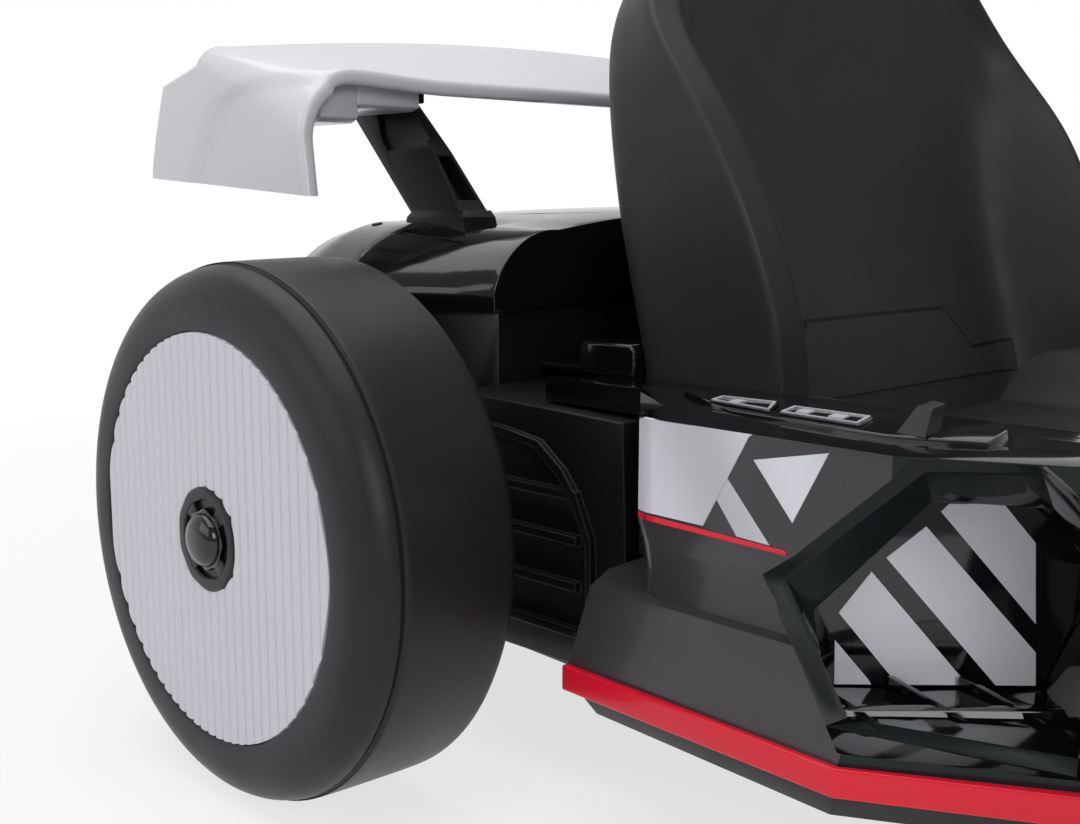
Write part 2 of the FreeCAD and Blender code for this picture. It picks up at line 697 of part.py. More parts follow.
def build_cover():
    """Moulded lid: a low skirt, swept shoulders and a crowned top, let in for the strut feet."""
    wires = []
    skirt = BOX_TOP_Z + COVER_SKIRT
    for y, half, out, shoulder, crown in COVER_SECTIONS:
        place = from_axle(y)
        bulge_x = (half + out) / 2 + 8.0
        bulge_z = skirt + 0.72 * (shoulder - skirt)
        wires.append(curved_wire([
            (vec(-half, place, BOX_TOP_Z),),
            (vec(-half, place, skirt),),
            (vec(-out, place, shoulder), vec(-bulge_x, place, bulge_z)),
            (vec(out, place, shoulder), vec(0, place, crown)),
            (vec(half, place, skirt), vec(bulge_x, place, bulge_z)),
            (vec(half, place, BOX_TOP_Z),),
        ]))
    cover = ruled_wires(wires)
    foot = strut_foot()
    save("drive_cover", cover.cut(foot).cut(mirrored(foot)))


def build_drive_blocks():
    floor = BOX_Z + BOX_WALL
    gear = block(-194.0, -124.0, from_axle(-13.0), from_axle(88.0), floor, floor + 112.0).cut(axle_bore())
    save_pair("gearbox", gear)
    save("battery", block(-76.0, 76.0, from_axle(40.0), from_axle(140.0), floor, floor + 95.0))


# Wing and its struts

# Foot levels: below the foot's top, flare outward, front, rear
FOOT_LEVELS = [(34.0, 5.0, 18.0, 80.0), (18.0, 5.0, 19.0, 79.0), (4.0, 4.0, 23.0, 75.0), (0.0, 0.0, 27.0, 74.0)]


def strut_foot():
    """Right foot block, flared towards the cover that it is let into."""
    inner = -STRUT_X + STRUT_W
    levels = []
    for below, flare, front, rear in FOOT_LEVELS:
        z = FOOT_TOP_Z - below
        plan = [(-STRUT_X - flare, front), (-STRUT_X - flare, rear), (inner, rear), (inner, front)]
        levels.append([vec(x, from_axle(y), z) for x, y in plan])
    return ruled(levels)


def strut_front(wall):
    """The blade seen from the front, narrower towards its head, with a wall taken off both sides."""
    outer = -STRUT_X + wall
    low = FOOT_TOP_Z - 2.0
    rows = [(outer, low), (-STRUT_X + STRUT_W - wall, low), (-STRUT_X + STRUT_HEAD_W - wall, STRUT_TOP_Z),
            (outer, STRUT_TOP_Z)]
    return slab_y(rows, from_axle(0.0), from_axle(140.0))


def strut():
    """Right strut: flared foot, swept blade with an open pocket in front, and a recessed head."""
    low = FOOT_TOP_Z - 2.0
    inner = -STRUT_X + STRUT_W
    blade = side_slab([(29.0, low), (75.5, low), (132.0, 355.0), (132.0, STRUT_TOP_Z), (78.0, STRUT_TOP_Z),
                       (54.0, 331.5)], -STRUT_X, inner).common(strut_front(0.0))
    pocket = side_slab([(20.0, 303.0), (49.0, 303.0), (67.0, 329.0), (36.0, 329.0)], -STRUT_X, inner)
    pocket = pocket.common(strut_front(STRUT_WALL))
    recess = side_slab([(60.0, 336.0), (98.0, 333.0), (104.0, 340.0), (110.0, STRUT_TOP_Z), (60.0, STRUT_TOP_Z)],
                       -STRUT_X, -STRUT_X + STRUT_RECESS)
    return fused([strut_foot(), blade]).cut(pocket).cut(recess)


def wing_section(back, crown):
    """Line of the moulded sheet across the kart at one place behind the axle."""
    y = from_axle(back)
    top = WING_FRONT_Z + WING_SLOPE * (back - WING_FRONT)
    straight = WING_HALF - WING_ROUND
    low = top - WING_ROUND
    outer = WING_ROUND * math.sqrt(0.5)
    inner = (WING_ROUND - WING_T) * math.sqrt(0.5)
    wall = WING_HALF - WING_T
    return curved_wire([
        (vec(-WING_HALF, y, WING_LEG_Z),),
        (vec(-WING_HALF, y, low),),
        (vec(-straight, y, top), vec(-straight - outer, y, low + outer)),
        (vec(straight, y, top), vec(0, y, top + crown)),
        (vec(WING_HALF, y, low), vec(straight + outer, y, low + outer)),
        (vec(WING_HALF, y, WING_LEG_Z),),
        (vec(wall, y, WING_LEG_Z),),
        (vec(wall, y, low),),
        (vec(straight, y, top - WING_T), vec(straight + inner, y, low + inner)),
        (vec(-straight, y, top - WING_T), vec(0, y, top - WING_T + crown)),
        (vec(-wall, y, low), vec(-straight - inner, y, low + inner)),
        (vec(-wall, y, WING_LEG_Z),),
    ])


def wing_mount():
    """Right mounting block under the sheet: a deep outer end, a slimmer arm and a thin pad over the strut."""
    head = STRUT_X + SEAT_GAP
    arm_x = MOUNT_OUT_X - 26.0
    slope = [(118.0, 382.0), (60.0, 366.0)]
    outer = side_slab([(60.0, 347.0), (66.0, 344.5), (118.0, 344.5)] + slope, -MOUNT_OUT_X, -arm_x)
    arm = side_slab([(60.0, 354.0), (66.0, 352.0), (118.0, 352.0)] + slope, -arm_x, -head)
    pad = side_slab([(62.0, STRUT_TOP_Z), (118.0, STRUT_TOP_Z)] + slope, -head, -STRUT_X + STRUT_HEAD_W + 2.0)
    return fused([outer, arm, pad])


def build_wing():
    """One moulded sheet: a crowned blade that turns down at both ends, trimmed to its side view."""
    past = 220.0
    front = WING_FRONT - 6.0
    growth = WING_CROWN / WING_CHORD
    sheet = ruled_wires([wing_section(front, 0.5), wing_section(past, growth * (past - WING_FRONT))])
    rear = WING_FRONT + WING_CHORD
    rear_z = WING_FRONT_Z + WING_SLOPE * WING_CHORD
    side = [(WING_FRONT - 4.0, 305.0), (214.0, 317.0), (206.0, 366.0), (rear, rear_z - 1.0), (rear, 460.0),
            (WING_FRONT, 460.0), (WING_FRONT, 340.0)]
    sheet = sheet.common(side_slab(side, -WING_HALF, WING_HALF))
    right = wing_mount()
    save("wing", fused([sheet, right, mirrored(right)]))


# Nose, bumper, pedals and controls

# Nose sections: forward of the front axle, low edge, side top, crown, half width, crown half width
NOSE_SECTIONS = [
    (-NOSE_BACK, 150.0, 236.0, 262.0, 196.0, 120.0),
    (20.0, 146.0, 222.0, 248.0, 190.0, 112.0),
    (96.0, 138.0, 184.0, 204.0, 172.0, 100.0),
    (NOSE_FORWARD, 124.0, 152.0, 166.0, 150.0, 88.0),
]


def build_nose():
    """Nose hood with a grille across its front, standing on a keel at the pan's front end."""
    sections = []
    for forward, low, side, crown, half, crown_half in NOSE_SECTIONS:
        y = from_front(-forward)
        rows = [(-half, low), (-half, side), (-crown_half, crown), (crown_half, crown), (half, side), (half, low)]
        sections.append([vec(x, y, z) for x, z in rows])
    front = from_front(-NOSE_FORWARD)
    keel = block(-60.0, 60.0, front, front + 60.0, PAN_TOP, 132.0)
    mouth = slab_y([(-118.0, 132.0), (118.0, 132.0), (104.0, 156.0), (-104.0, 156.0)], front, front + 18.0)
    slats = []
    for z in (138.0, 147.0):
        slats.append(block(-112.0, 112.0, front + 3.0, front + 20.0, z, z + 3.0))
    for x in (-60.0, 0.0, 60.0):
        slats.append(block(x - 2.0, x + 2.0, front + 2.0, front + 20.0, 130.0, 157.0))
    sleeve = rod(column_point(0), column_point(400.0), SLEEVE_R + SEAT_GAP)
    save("nose", fused([fused([ruled(sections), keel]).cut(mouth)] + slats).cut(sleeve))


def build_bumper():
    """Front bumper: a chamfered bar swept back at its ends, with a flat lip below."""
    rear = from_front(-NOSE_FORWARD)
    tip = rear - BUMPER_DEPTH

    def level_at(z, inset, half):
        plan = [(half, rear), (half, rear - 18.0 + inset), (180.0, tip + 8.0 + inset), (90.0, tip + inset)]
        return [vec(x, y, z) for x, y in both_sides(plan)]

    top = BUMPER_Z + BUMPER_H
    bar = ruled([level_at(BUMPER_Z, 6.0, BUMPER_HALF - 8.0), level_at(BUMPER_Z + 14.0, 0.0, BUMPER_HALF),
                 level_at(top - 16.0, 0.0, BUMPER_HALF), level_at(top, 14.0, BUMPER_HALF - 10.0)])
    cuts = []
    for x0, x1 in ((-276.0, -190.0), (-84.0, 84.0), (190.0, 276.0)):
        cuts.append(block(x0, x1, tip, tip + 16.0 if x0 == -84.0 else rear - 16.0, BUMPER_Z + 22.0, top - 24.0))
    for opening in cuts:
        bar = bar.cut(opening)
    save("front_bumper", bar)


def pedal():
    """Pedal with a ribbed pad on a leg from the floor pan."""
    heel = from_front(54.0)
    side = [(heel, 96.0), (heel - 6.0, 90.0), (heel - 30.0, 150.0), (heel - 24.0, 154.0)]
    pieces = [slab_x(side, -126.0, -76.0)]
    pieces.append(slab_x([(heel, PAN_TOP), (heel - 16.0, PAN_TOP), (heel - 12.0, 112.0), (heel - 4.0, 96.0)],
                         -110.0, -92.0))
    for z in (102.0, 114.0, 126.0, 138.0):
        y = heel - 24.0 * (z - 96.0) / 58.0
        pieces.append(slab_x([(y + 2.0, z), (y - 3.0, z), (y - 4.5, z + 4.0), (y + 0.5, z + 4.0)], -122.0, -80.0))
    return fused(pieces)


def build_pedals():
    save("throttle_pedal", pedal())
    save("brake_pedal", mirrored(pedal()))


def tray_plan():
    """The switch tray's outline on the right pod's deck."""
    rows = [(206, -172), (231, -170), (262, -222), (269, -303), (256, -340), (224, -331), (204, -262), (202, -200)]
    return [(-x, from_axle(y)) for x, y in rows]


def build_switches():
    save("switch_panel", slab_z(tray_plan(), TRAY_BASE_Z, TRAY_TOP_Z))
    buttons = []
    for rows in ([(239, -199), (253, -203), (259, -241), (236, -229)], [(241, -240), (260, -246), (263, -288),
                                                                         (242, -281)]):
        plan = [(-x, from_axle(y)) for x, y in rows]
        buttons.append(slab_z(plan, TRAY_TOP_Z, TRAY_TOP_Z + BUTTON_H))
    save("switch_buttons", Part.makeCompound(buttons))
    foot = [(244, -300), (262, -304), (266, -319), (248, -315)]
    grip = [(239, -306), (255, -309), (258, -317), (243, -314)]
    save("shift_lever", ruled([level(TRAY_TOP_Z, foot), level(TRAY_TOP_Z + LEVER_H, grip)]))


build_wheels()
build_rear_axle()
build_front_beam()
save_pair("knuckle", knuckle())
build_tie_rod()
build_steering_wheel()
build_column()
build_floor_pan()
build_side_panels()
build_fairings()
build_seat()
build_drive_box()
build_cover()
build_drive_blocks()
save_pair("strut", strut())
build_wing()
build_nose()
build_bumper()
build_pedals()
build_switches()
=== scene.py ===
import json
import math

import bmesh
import bpy
from mathutils import Matrix, Vector
from mathutils.bvhtree import BVHTree

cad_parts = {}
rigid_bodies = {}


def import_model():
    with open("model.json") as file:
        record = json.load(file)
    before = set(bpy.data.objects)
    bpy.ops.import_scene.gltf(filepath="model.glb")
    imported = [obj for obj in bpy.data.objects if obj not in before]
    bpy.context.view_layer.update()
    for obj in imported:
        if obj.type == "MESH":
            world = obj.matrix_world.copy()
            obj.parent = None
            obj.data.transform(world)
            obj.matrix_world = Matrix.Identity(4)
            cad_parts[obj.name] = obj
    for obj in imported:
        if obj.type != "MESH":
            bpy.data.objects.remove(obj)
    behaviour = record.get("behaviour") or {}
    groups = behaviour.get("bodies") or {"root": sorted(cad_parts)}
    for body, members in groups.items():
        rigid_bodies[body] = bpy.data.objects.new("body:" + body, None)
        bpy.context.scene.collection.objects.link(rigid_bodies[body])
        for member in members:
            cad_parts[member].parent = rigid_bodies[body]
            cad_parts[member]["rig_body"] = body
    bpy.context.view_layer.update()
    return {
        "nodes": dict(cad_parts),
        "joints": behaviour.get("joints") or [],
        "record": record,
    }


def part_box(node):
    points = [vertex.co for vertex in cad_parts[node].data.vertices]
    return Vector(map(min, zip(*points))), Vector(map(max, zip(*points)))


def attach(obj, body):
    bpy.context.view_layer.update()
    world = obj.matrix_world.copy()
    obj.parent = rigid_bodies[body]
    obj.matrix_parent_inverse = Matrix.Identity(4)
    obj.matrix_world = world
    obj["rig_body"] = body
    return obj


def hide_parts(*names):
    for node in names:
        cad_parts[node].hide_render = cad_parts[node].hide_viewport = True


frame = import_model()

bl_info = {
    "name": "Drift kart finish",
    "version": (1, 0, 0),
    "blender": (4, 5, 0),
    "location": "3D View > Sidebar > Kart",
    "description": "Dresses an electric drift kart: wheels, seat, panels, wing, controls and studio",
    "category": "Object",
}

MM = 0.001
SIDES = ("right", "left")
# Length along each of two axes of a step of 1 at 45 degrees to them
DIAGONAL = math.sqrt(0.5)
# The middle of a wheel's box lies on its axle
REAR_AXLE = sum(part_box("rear_tyre_right"), Vector()) / 2


class KartSizes(bpy.types.PropertyGroup):
    rear_ribs: bpy.props.IntProperty(
        name="Rear ribs", description="Upright ribs across a rear wheel's cover", default=28, min=4)
    front_ribs: bpy.props.IntProperty(
        name="Front ribs", description="Upright ribs across a front wheel's cover", default=22, min=4)
    rib_height: bpy.props.FloatProperty(
        name="Rib height", description="Height of a cover's ribs", default=0.0014, unit="LENGTH")
    lathe_steps: bpy.props.IntProperty(
        name="Lathe steps", description="Steps round a wheel", default=144, min=24)


class KartColours(bpy.types.PropertyGroup):
    charcoal: bpy.props.FloatVectorProperty(
        name="Charcoal", description="Side pods and nose", default=(0.034, 0.031, 0.034), subtype="COLOR")
    gloss_black: bpy.props.FloatVectorProperty(
        name="Gloss black", description="Cover, decks and intakes", default=(0.004, 0.004, 0.005),
        subtype="COLOR")
    matte_black: bpy.props.FloatVectorProperty(
        name="Matt black", description="Floor pan, struts and wells", default=(0.006, 0.006, 0.006),
        subtype="COLOR")
    seat_grey: bpy.props.FloatVectorProperty(
        name="Seat grey", description="Moulded seat", default=(0.018, 0.018, 0.0195), subtype="COLOR")
    pearl: bpy.props.FloatVectorProperty(
        name="Pearl white", description="Wing", default=(0.58, 0.585, 0.61), subtype="COLOR")
    silver: bpy.props.FloatVectorProperty(
        name="Silver", description="Wheel covers and livery", default=(0.55, 0.555, 0.59), subtype="COLOR")
    red: bpy.props.FloatVectorProperty(
        name="Red", description="Skirt band", default=(0.66, 0.008, 0.026), subtype="COLOR")
    rim_grey: bpy.props.FloatVectorProperty(
        name="Rim grey", description="Band round each intake", default=(0.011, 0.015, 0.016), subtype="COLOR")
    tyre: bpy.props.FloatVectorProperty(
        name="Tyre grey", description="Slick plastic tyres", default=(0.012, 0.0135, 0.015), subtype="COLOR")
    steel: bpy.props.FloatVectorProperty(
        name="Steel", description="Rods, axle, steering shaft", default=(0.45, 0.45, 0.46), subtype="COLOR")


class StageSettings(bpy.types.PropertyGroup):
    camera_place: bpy.props.FloatVectorProperty(
        name="Camera", description="Where the camera stands", default=(-0.72572, -0.23956, 0.30118),
        unit="LENGTH")
    camera_heading: bpy.props.FloatProperty(
        name="Heading", description="Turn of the view from +Y towards +X", default=math.radians(43.84),
        subtype="ANGLE")
    camera_pitch: bpy.props.FloatProperty(
        name="Pitch", description="Downward tilt of the view", default=math.radians(8.74), subtype="ANGLE")
    lens: bpy.props.FloatProperty(
        name="Lens", description="Focal length for a 36 mm sensor", default=45.27)


# Objects and meshes

def new_object(name, data):
    made = bpy.data.objects.new(name, data)
    bpy.context.scene.collection.objects.link(made)
    return made


def new_piece(name, mesh, body, slot_name, replaces=(), look=None):
    """Link a mesh as a piece that rides on a body, in its slot's finish unless another look is named."""
    piece = new_object(name, mesh)
    mesh.materials.clear()
    mesh.materials.append(finish(look or slot_name))
    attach(piece, body)
    if replaces:
        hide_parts(*replaces)


def shade(mesh, angle):
    """Smooth shading that keeps edges sharper than the angle."""
    mesh.polygons.foreach_set("use_smooth", [True] * len(mesh.polygons))
    mesh.set_sharp_from_angle(angle=math.radians(angle))
    mesh.update()


def finished(bm, name, angle=None):
    """The mesh of a bmesh, shaded where an angle is given."""
    mesh = bpy.data.meshes.new(name)
    bm.to_mesh(mesh)
    bm.free()
    if angle is not None:
        shade(mesh, angle)
    return mesh


def modified(mesh, kind, sockets=(), **settings):
    """The mesh with one modifier applied. Sockets pair a geometry tree's inputs with their values."""
    name = mesh.name
    carrier = new_object(name, mesh)
    modifier = carrier.modifiers.new(name, kind)
    for key, value in settings.items():
        setattr(modifier, key, value)
    for key, value in sockets:
        modifier[key] = value
    graph = bpy.context.evaluated_depsgraph_get()
    graph.update()
    made = bpy.data.meshes.new_from_object(carrier.evaluated_get(graph))
    bpy.data.objects.remove(carrier)
    bpy.data.meshes.remove(mesh)
    made.name = name
    return made


# In a CAD mesh, points closer than this are one point, and faces closer in angle than this are one face
SAME_PLACE, SAME_PLANE = 0.00002, math.radians(0.6)


def rounded_copy(node, name, slot_name, radius):
    """The CAD form with whole faces and rounded edges, in the node's place."""
    bm = bmesh.new()
    bm.from_mesh(frame["nodes"][node].data)
    bmesh.ops.remove_doubles(bm, verts=bm.verts, dist=SAME_PLACE)
    bmesh.ops.dissolve_limit(bm, angle_limit=SAME_PLANE, verts=bm.verts, edges=bm.edges)
    bmesh.ops.recalc_face_normals(bm, faces=bm.faces)
    mesh = modified(finished(bm, name), "BEVEL", width=radius, segments=3, limit_method="ANGLE",
                    angle_limit=math.radians(28.0), use_clamp_overlap=True, miter_outer="MITER_ARC")
    shade(mesh, 40.0)
    new_piece(name, mesh, frame["nodes"][node]["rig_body"], slot_name, [node])


def mirrored_mesh(mesh, name):
    """The same mesh on the other side of the kart."""
    bm = bmesh.new()
    bm.from_mesh(mesh)
    for vert in bm.verts:
        vert.co.x = -vert.co.x
    bmesh.ops.reverse_faces(bm, faces=bm.faces)
    return finished(bm, name)


def paired_piece(stem, mesh, body, slot_name, replaces=(), look=None):
    """A right-hand mesh and its mirror image, as two pieces on the chassis or on a sided body."""
    for word in SIDES:
        name = stem + "_" + word
        made = mesh if word == "right" else mirrored_mesh(mesh, name)
        new_piece(name, made, body.replace("right", word), slot_name,
                  [node.replace("right", word) for node in replaces], look)


# Shapes from rows of numbers

def spot(x, y, z):
    """A place from millimetres: across, behind the rear axle, above the ground."""
    return Vector((x * MM, REAR_AXLE.y + y * MM, z * MM))


def mixed(a, b, t):
    return a + (b - a) * t


def risen(value, low, high):
    """Share of the way from one place to another, kept from 0 to 1."""
    return min(1.0, max(0.0, (value - low) / (high - low)))


def eased(value, low, high):
    """Smooth rise from 0 to 1 between two places."""
    t = risen(value, low, high)
    return t * t * (3.0 - 2.0 * t)


def round_turn(steps):
    return [2 * math.pi * i / steps for i in range(steps)]


def spline(rows, steps):
    """Smooth line through rows of numbers, with the given steps from each row to the next."""
    last = len(rows) - 1
    made = []
    for i in range(last):
        before, here, after, beyond = (rows[max(0, min(last, j))] for j in (i - 1, i, i + 1, i + 2))
        for t in (k / steps for k in range(steps)):
            made.append(tuple(
                0.5 * (2 * q + (r - p) * t + (2 * p - 5 * q + 4 * r - s) * t ** 2
                       + (3 * q - p - 3 * r + s) * t ** 3)
                for p, q, r, s in zip(before, here, after, beyond)))
    made.append(tuple(rows[last]))
    return made


def skinned(name, rings, angle, capped=True):
    """Mesh through rings of equal point counts, joined in order."""
    bm = bmesh.new()
    made = [[bm.verts.new(point) for point in ring] for ring in rings]
    count = len(rings[0])
    for low, high in zip(made, made[1:]):
        for i in range(count):
            j = (i + 1) % count
            bm.faces.new((low[i], low[j], high[j], high[i]))
    if capped:
        bm.faces.new(made[0][::-1])
        bm.faces.new(made[-1])
    bmesh.ops.remove_doubles(bm, verts=bm.verts, dist=0.000005)
    bmesh.ops.recalc_face_normals(bm, faces=bm.faces)
    return finished(bm, name, angle)


def lathe(name, profile, centre, steps, closed=True):
    """Revolve (inboard, radius) millimetres about a right wheel's axle. A radius of 0 is a pole."""
    bm = bmesh.new()
    rings = []
    for inboard, radius in profile:
        rings.append([
            bm.verts.new((centre.x + inboard * MM, centre.y + radius * MM * math.cos(turn),
                          centre.z + radius * MM * math.sin(turn)))
            for turn in (round_turn(steps) if radius > 0.0 else (0.0,))])
    for a, b in zip(rings, rings[1:] + (rings[:1] if closed else [])):
        for i in range(steps):
            j = (i + 1) % steps
            start = (a[i], a[j]) if len(a) > 1 else (a[0],)
            end = (b[j], b[i]) if len(b) > 1 else (b[0],)
            bm.faces.new(start + end)
    bmesh.ops.recalc_face_normals(bm, faces=bm.faces)
    return finished(bm, name)


def tube(name, path, normal, radius, steps=20):
    """Round bar along a closed path that lies in one plane."""
    rings = []
    for i, point in enumerate(path):
        along = (path[(i + 1) % len(path)] - path[i - 1]).normalized()
        side = normal.cross(along).normalized()
        rings.append([point + radius * (math.cos(turn) * side + math.sin(turn) * normal)
                      for turn in round_turn(steps)])
    return skinned(name, rings + rings[:1], 60.0, capped=False)


def extruded(name, outline, direction, bevel=0.0):
    """Prism from a flat outline, with rounded edges."""
    bm = bmesh.new()
    near = [bm.verts.new(p) for p in outline]
    far = [bm.verts.new(p + direction) for p in outline]
    bm.faces.new(near)
    bm.faces.new(far[::-1])
    for i in range(len(near)):
        bm.faces.new((near[i], near[i - 1], far[i - 1], far[i]))
    bmesh.ops.recalc_face_normals(bm, faces=bm.faces)
    if bevel > 0.0:
        bmesh.ops.bevel(bm, geom=list(bm.edges), offset=bevel, segments=3, affect="EDGES", profile=0.5)
    return finished(bm, name, 40.0)


def joined(name, meshes):
    bm = bmesh.new()
    for mesh in meshes:
        bm.from_mesh(mesh)
    return finished(bm, name, 35.0)


def skin_of(name):
    """A piece's surface, for rays to hit."""
    data = bpy.data.objects[name].data
    return BVHTree.FromPolygons([v.co for v in data.vertices], [p.vertices for p in data.polygons])


def laid_on(name, target, outline, toward, lift=0.0003, cell=0.004, depth=0.0006):
    """A thin film: an outline cut into cells, draped on a piece along one direction, and thickened."""
    skin, reach = skin_of(target), 0.08
    bm = bmesh.new()
    bm.faces.new([bm.verts.new(p) for p in outline])
    low = Vector([min(p[i] for p in outline) for i in range(3)])
    high = Vector([max(p[i] for p in outline) for i in range(3)])
    for i in range(3):
        normal = Vector([1.0 if k == i else 0.0 for k in range(3)])
        if abs(normal.dot(toward)) > 0.99:
            continue
        for k in range(1, int((high[i] - low[i]) / cell) + 1):
            geom = list(bm.verts) + list(bm.edges) + list(bm.faces)
            bmesh.ops.bisect_plane(bm, geom=geom, plane_co=low + normal * cell * k, plane_no=normal)
    for vert in bm.verts:
        hit = skin.ray_cast(vert.co - toward * reach, toward, 2 * reach)[0]
        if hit is None:
            hit = skin.find_nearest(vert.co)[0]
        vert.co = hit - toward * lift
    bmesh.ops.recalc_face_normals(bm, faces=bm.faces)
    if bm.faces[:][0].normal.dot(toward) > 0:
        bmesh.ops.reverse_faces(bm, faces=bm.faces)
    made = modified(finished(bm, name), "SOLIDIFY", thickness=depth, offset=-1.0)
    shade(made, 40.0)
    return made


# Shader and geometry trees

class Tree:
    """A shader or geometry tree with short calls. An input's value may be another node's socket."""

    def __init__(self, tree):
        self.tree = tree

    def fill(self, made, inputs):
        for key, value in inputs.items():
            if isinstance(value, bpy.types.NodeSocket):
                self.tree.links.new(value, made.inputs[key])
            else:
                made.inputs[key].default_value = value

    def node(self, kind, inputs=None, **values):
        made = self.tree.nodes.new(kind)
        for key, value in values.items():
            setattr(made, key, value)
        self.fill(made, inputs or {})
        return made

    def math(self, operation, *values, clamp=False):
        made = self.node("ShaderNodeMath", dict(enumerate(values)), operation=operation, use_clamp=clamp)
        return made.outputs[0]

    def times(self, first, second):
        return self.math("MULTIPLY", first, second)

    def minus(self, first, second):
        return self.math("SUBTRACT", first, second)


def surface(name):
    """A new material, its tree, its one shader and an object-space mapping."""
    material = bpy.data.materials.new(name)
    material.use_nodes = True
    tree = Tree(material.node_tree)
    coords = tree.node("ShaderNodeTexCoord")
    mapping = tree.node("ShaderNodeMapping", {"Vector": coords.outputs["Object"]})
    return material, tree, tree.tree.nodes["Principled BSDF"], mapping


def noise(tree, vector, scale, detail, roughness=0.5):
    return tree.node("ShaderNodeTexNoise", {
        "Vector": vector, "Scale": scale, "Detail": detail, "Roughness": roughness}).outputs["Fac"]


def spread(tree, value, low, high):
    """A noise's middle part, stretched to run between two values."""
    return tree.node("ShaderNodeMapRange", {
        "Value": value, "From Min": 0.3, "From Max": 0.7, "To Min": low, "To Max": high}).outputs["Result"]


def two_tones(tree, factor, tint, darker, lighter):
    """A colour that runs between two shades of itself. Colours sit in the mix's sockets 6, 7 and 2."""
    return tree.node("ShaderNodeMix", {
        0: factor, 6: (*tinted(tint, darker), 1.0), 7: (*tinted(tint, lighter), 1.0)},
        data_type="RGBA").outputs[2]


def tinted(tint, factor):
    return tuple(min(1.0, c * factor) for c in tint)


def mix_shaders(tree, factor, first, second, output):
    mix = tree.node("ShaderNodeMixShader", {"Fac": factor, 1: first.outputs[0], 2: second.outputs[0]})
    tree.fill(output, {"Surface": mix.outputs[0]})


def plastic(name, tint, rough, grain=900.0, depth=20.0, mottle=0.12, coat=0.0, specular=0.5, metallic=0.0):
    """Moulded plastic: faint cloudiness in colour and gloss, and a fine grain with its depth in microns."""
    material, tree, shader, mapping = surface(name)
    vector = mapping.outputs["Vector"]
    cloud = spread(tree, noise(tree, vector, 9.0, 4.0), 0.0, 1.0)
    wear = noise(tree, vector, 34.0, 6.0, 0.6)
    relief = tree.node("ShaderNodeBump", {
        "Strength": 0.35, "Distance": depth * 0.000001, "Height": noise(tree, vector, grain, 2.0)})
    tree.fill(shader, {
        "Base Color": two_tones(tree, cloud, tint, 1.0 - mottle, 1.0 + mottle),
        "Roughness": spread(tree, wear, rough * 0.88, rough * 1.12), "Normal": relief.outputs["Normal"],
        "Coat Weight": coat, "Coat Roughness": 0.06, "Specular IOR Level": specular, "Metallic": metallic})
    return material


def film(name, tint):
    """Silver film with soft slanting bands of light and shade."""
    material, tree, shader, mapping = surface(name)
    vector = mapping.outputs["Vector"]
    mapping.inputs["Rotation"].default_value = (math.radians(28.0), 0.0, 0.0)
    wave = tree.node("ShaderNodeTexWave", {"Vector": vector, "Scale": 4.2, "Distortion": 0.6},
                     wave_type="BANDS", bands_direction="Y", wave_profile="SIN")
    tree.fill(shader, {
        "Base Color": two_tones(tree, wave.outputs["Fac"], tint, 0.74, 1.08),
        "Roughness": spread(tree, noise(tree, vector, 400.0, 2.0), 0.30, 0.38), "Metallic": 0.2})
    return material


# Finish: colour, its factor, roughness, and what differs from the usual plastic. The film sets its own.
FINISHES = {
    "gloss_black": ("gloss_black", 1.0, 0.09, dict(grain=260.0, depth=4.0, coat=0.2)),
    "rim_grey": ("rim_grey", 1.0, 0.26, dict(grain=260.0, depth=3.0, specular=0.18)),
    "satin_black": ("matte_black", 1.0, 0.30, dict(grain=700.0, specular=0.28)),
    "matte_black": ("matte_black", 1.0, 0.40, dict(specular=0.22)),
    "charcoal": ("charcoal", 1.0, 0.30, dict(grain=400.0, depth=2.0, coat=0.2, specular=0.35)),
    "seat_grey": ("seat_grey", 1.0, 0.48, dict(grain=1300.0, depth=30.0, specular=0.35)),
    "pearl_white": ("pearl", 1.0, 0.32, dict(grain=300.0, depth=3.0, mottle=0.02, coat=0.4)),
    "cover_silver": ("silver", 1.0, 0.34, dict(grain=500.0, depth=2.0, mottle=0.02, metallic=0.1)),
    # silver_plate is the silver made 1.45 times lighter: painted light that lifts the shade on the strips
    # deep in the intake pocket
    "silver_plate": ("silver", 1.45, 0.34, dict(grain=500.0, depth=3.0, mottle=0.05, metallic=0.1)),
    "silver_film": ("silver", 1.1, None, None),
    "stripe_red": ("red", 1.0, 0.26, dict(grain=500.0, depth=2.0, mottle=0.03, coat=0.15, specular=0.3)),
    "slick_tyre": ("tyre", 1.0, 0.40, dict(grain=800.0, mottle=0.10, specular=0.25)),
    "grip_black": ("matte_black", 1.0, 0.6, dict(grain=1500.0, depth=60.0)),
    "pedal_grey": ("seat_grey", 1.2, 0.42, dict(specular=0.3)),
    "button_silver": ("silver", 1.0, 0.25, dict()),
    "steel": ("steel", 1.0, 0.32, dict(metallic=1.0, grain=1200.0)),
    "dark_metal": ("matte_black", 1.0, 0.38, dict(coat=0.1, specular=0.3)),
}
MADE_FINISHES = {}


def finish(name):
    """The material of a finish, made at its first use."""
    if name not in MADE_FINISHES:
        source, factor, rough, rest = FINISHES[name]
        tint = tinted(getattr(bpy.context.scene.kart_colours, source), factor)
        MADE_FINISHES[name] = film(name, tint) if rest is None else plastic(name, tint, rough, **rest)
    return MADE_FINISHES[name]


def node_group(name, inputs):
    """A geometry tree with a geometry socket each way and named inputs, whose sockets come last."""
    group = bpy.data.node_groups.new(name, "GeometryNodeTree")
    group.interface.new_socket("Geometry", in_out="INPUT", socket_type="NodeSocketGeometry")
    group.interface.new_socket("Geometry", in_out="OUTPUT", socket_type="NodeSocketGeometry")
    for label, kind, value in inputs:
        socket = group.interface.new_socket(label, in_out="INPUT", socket_type="NodeSocket" + kind)
        if value is not None:
            socket.default_value = value
    tree = Tree(group)
    return group, tree, tree.node("NodeGroupInput").outputs


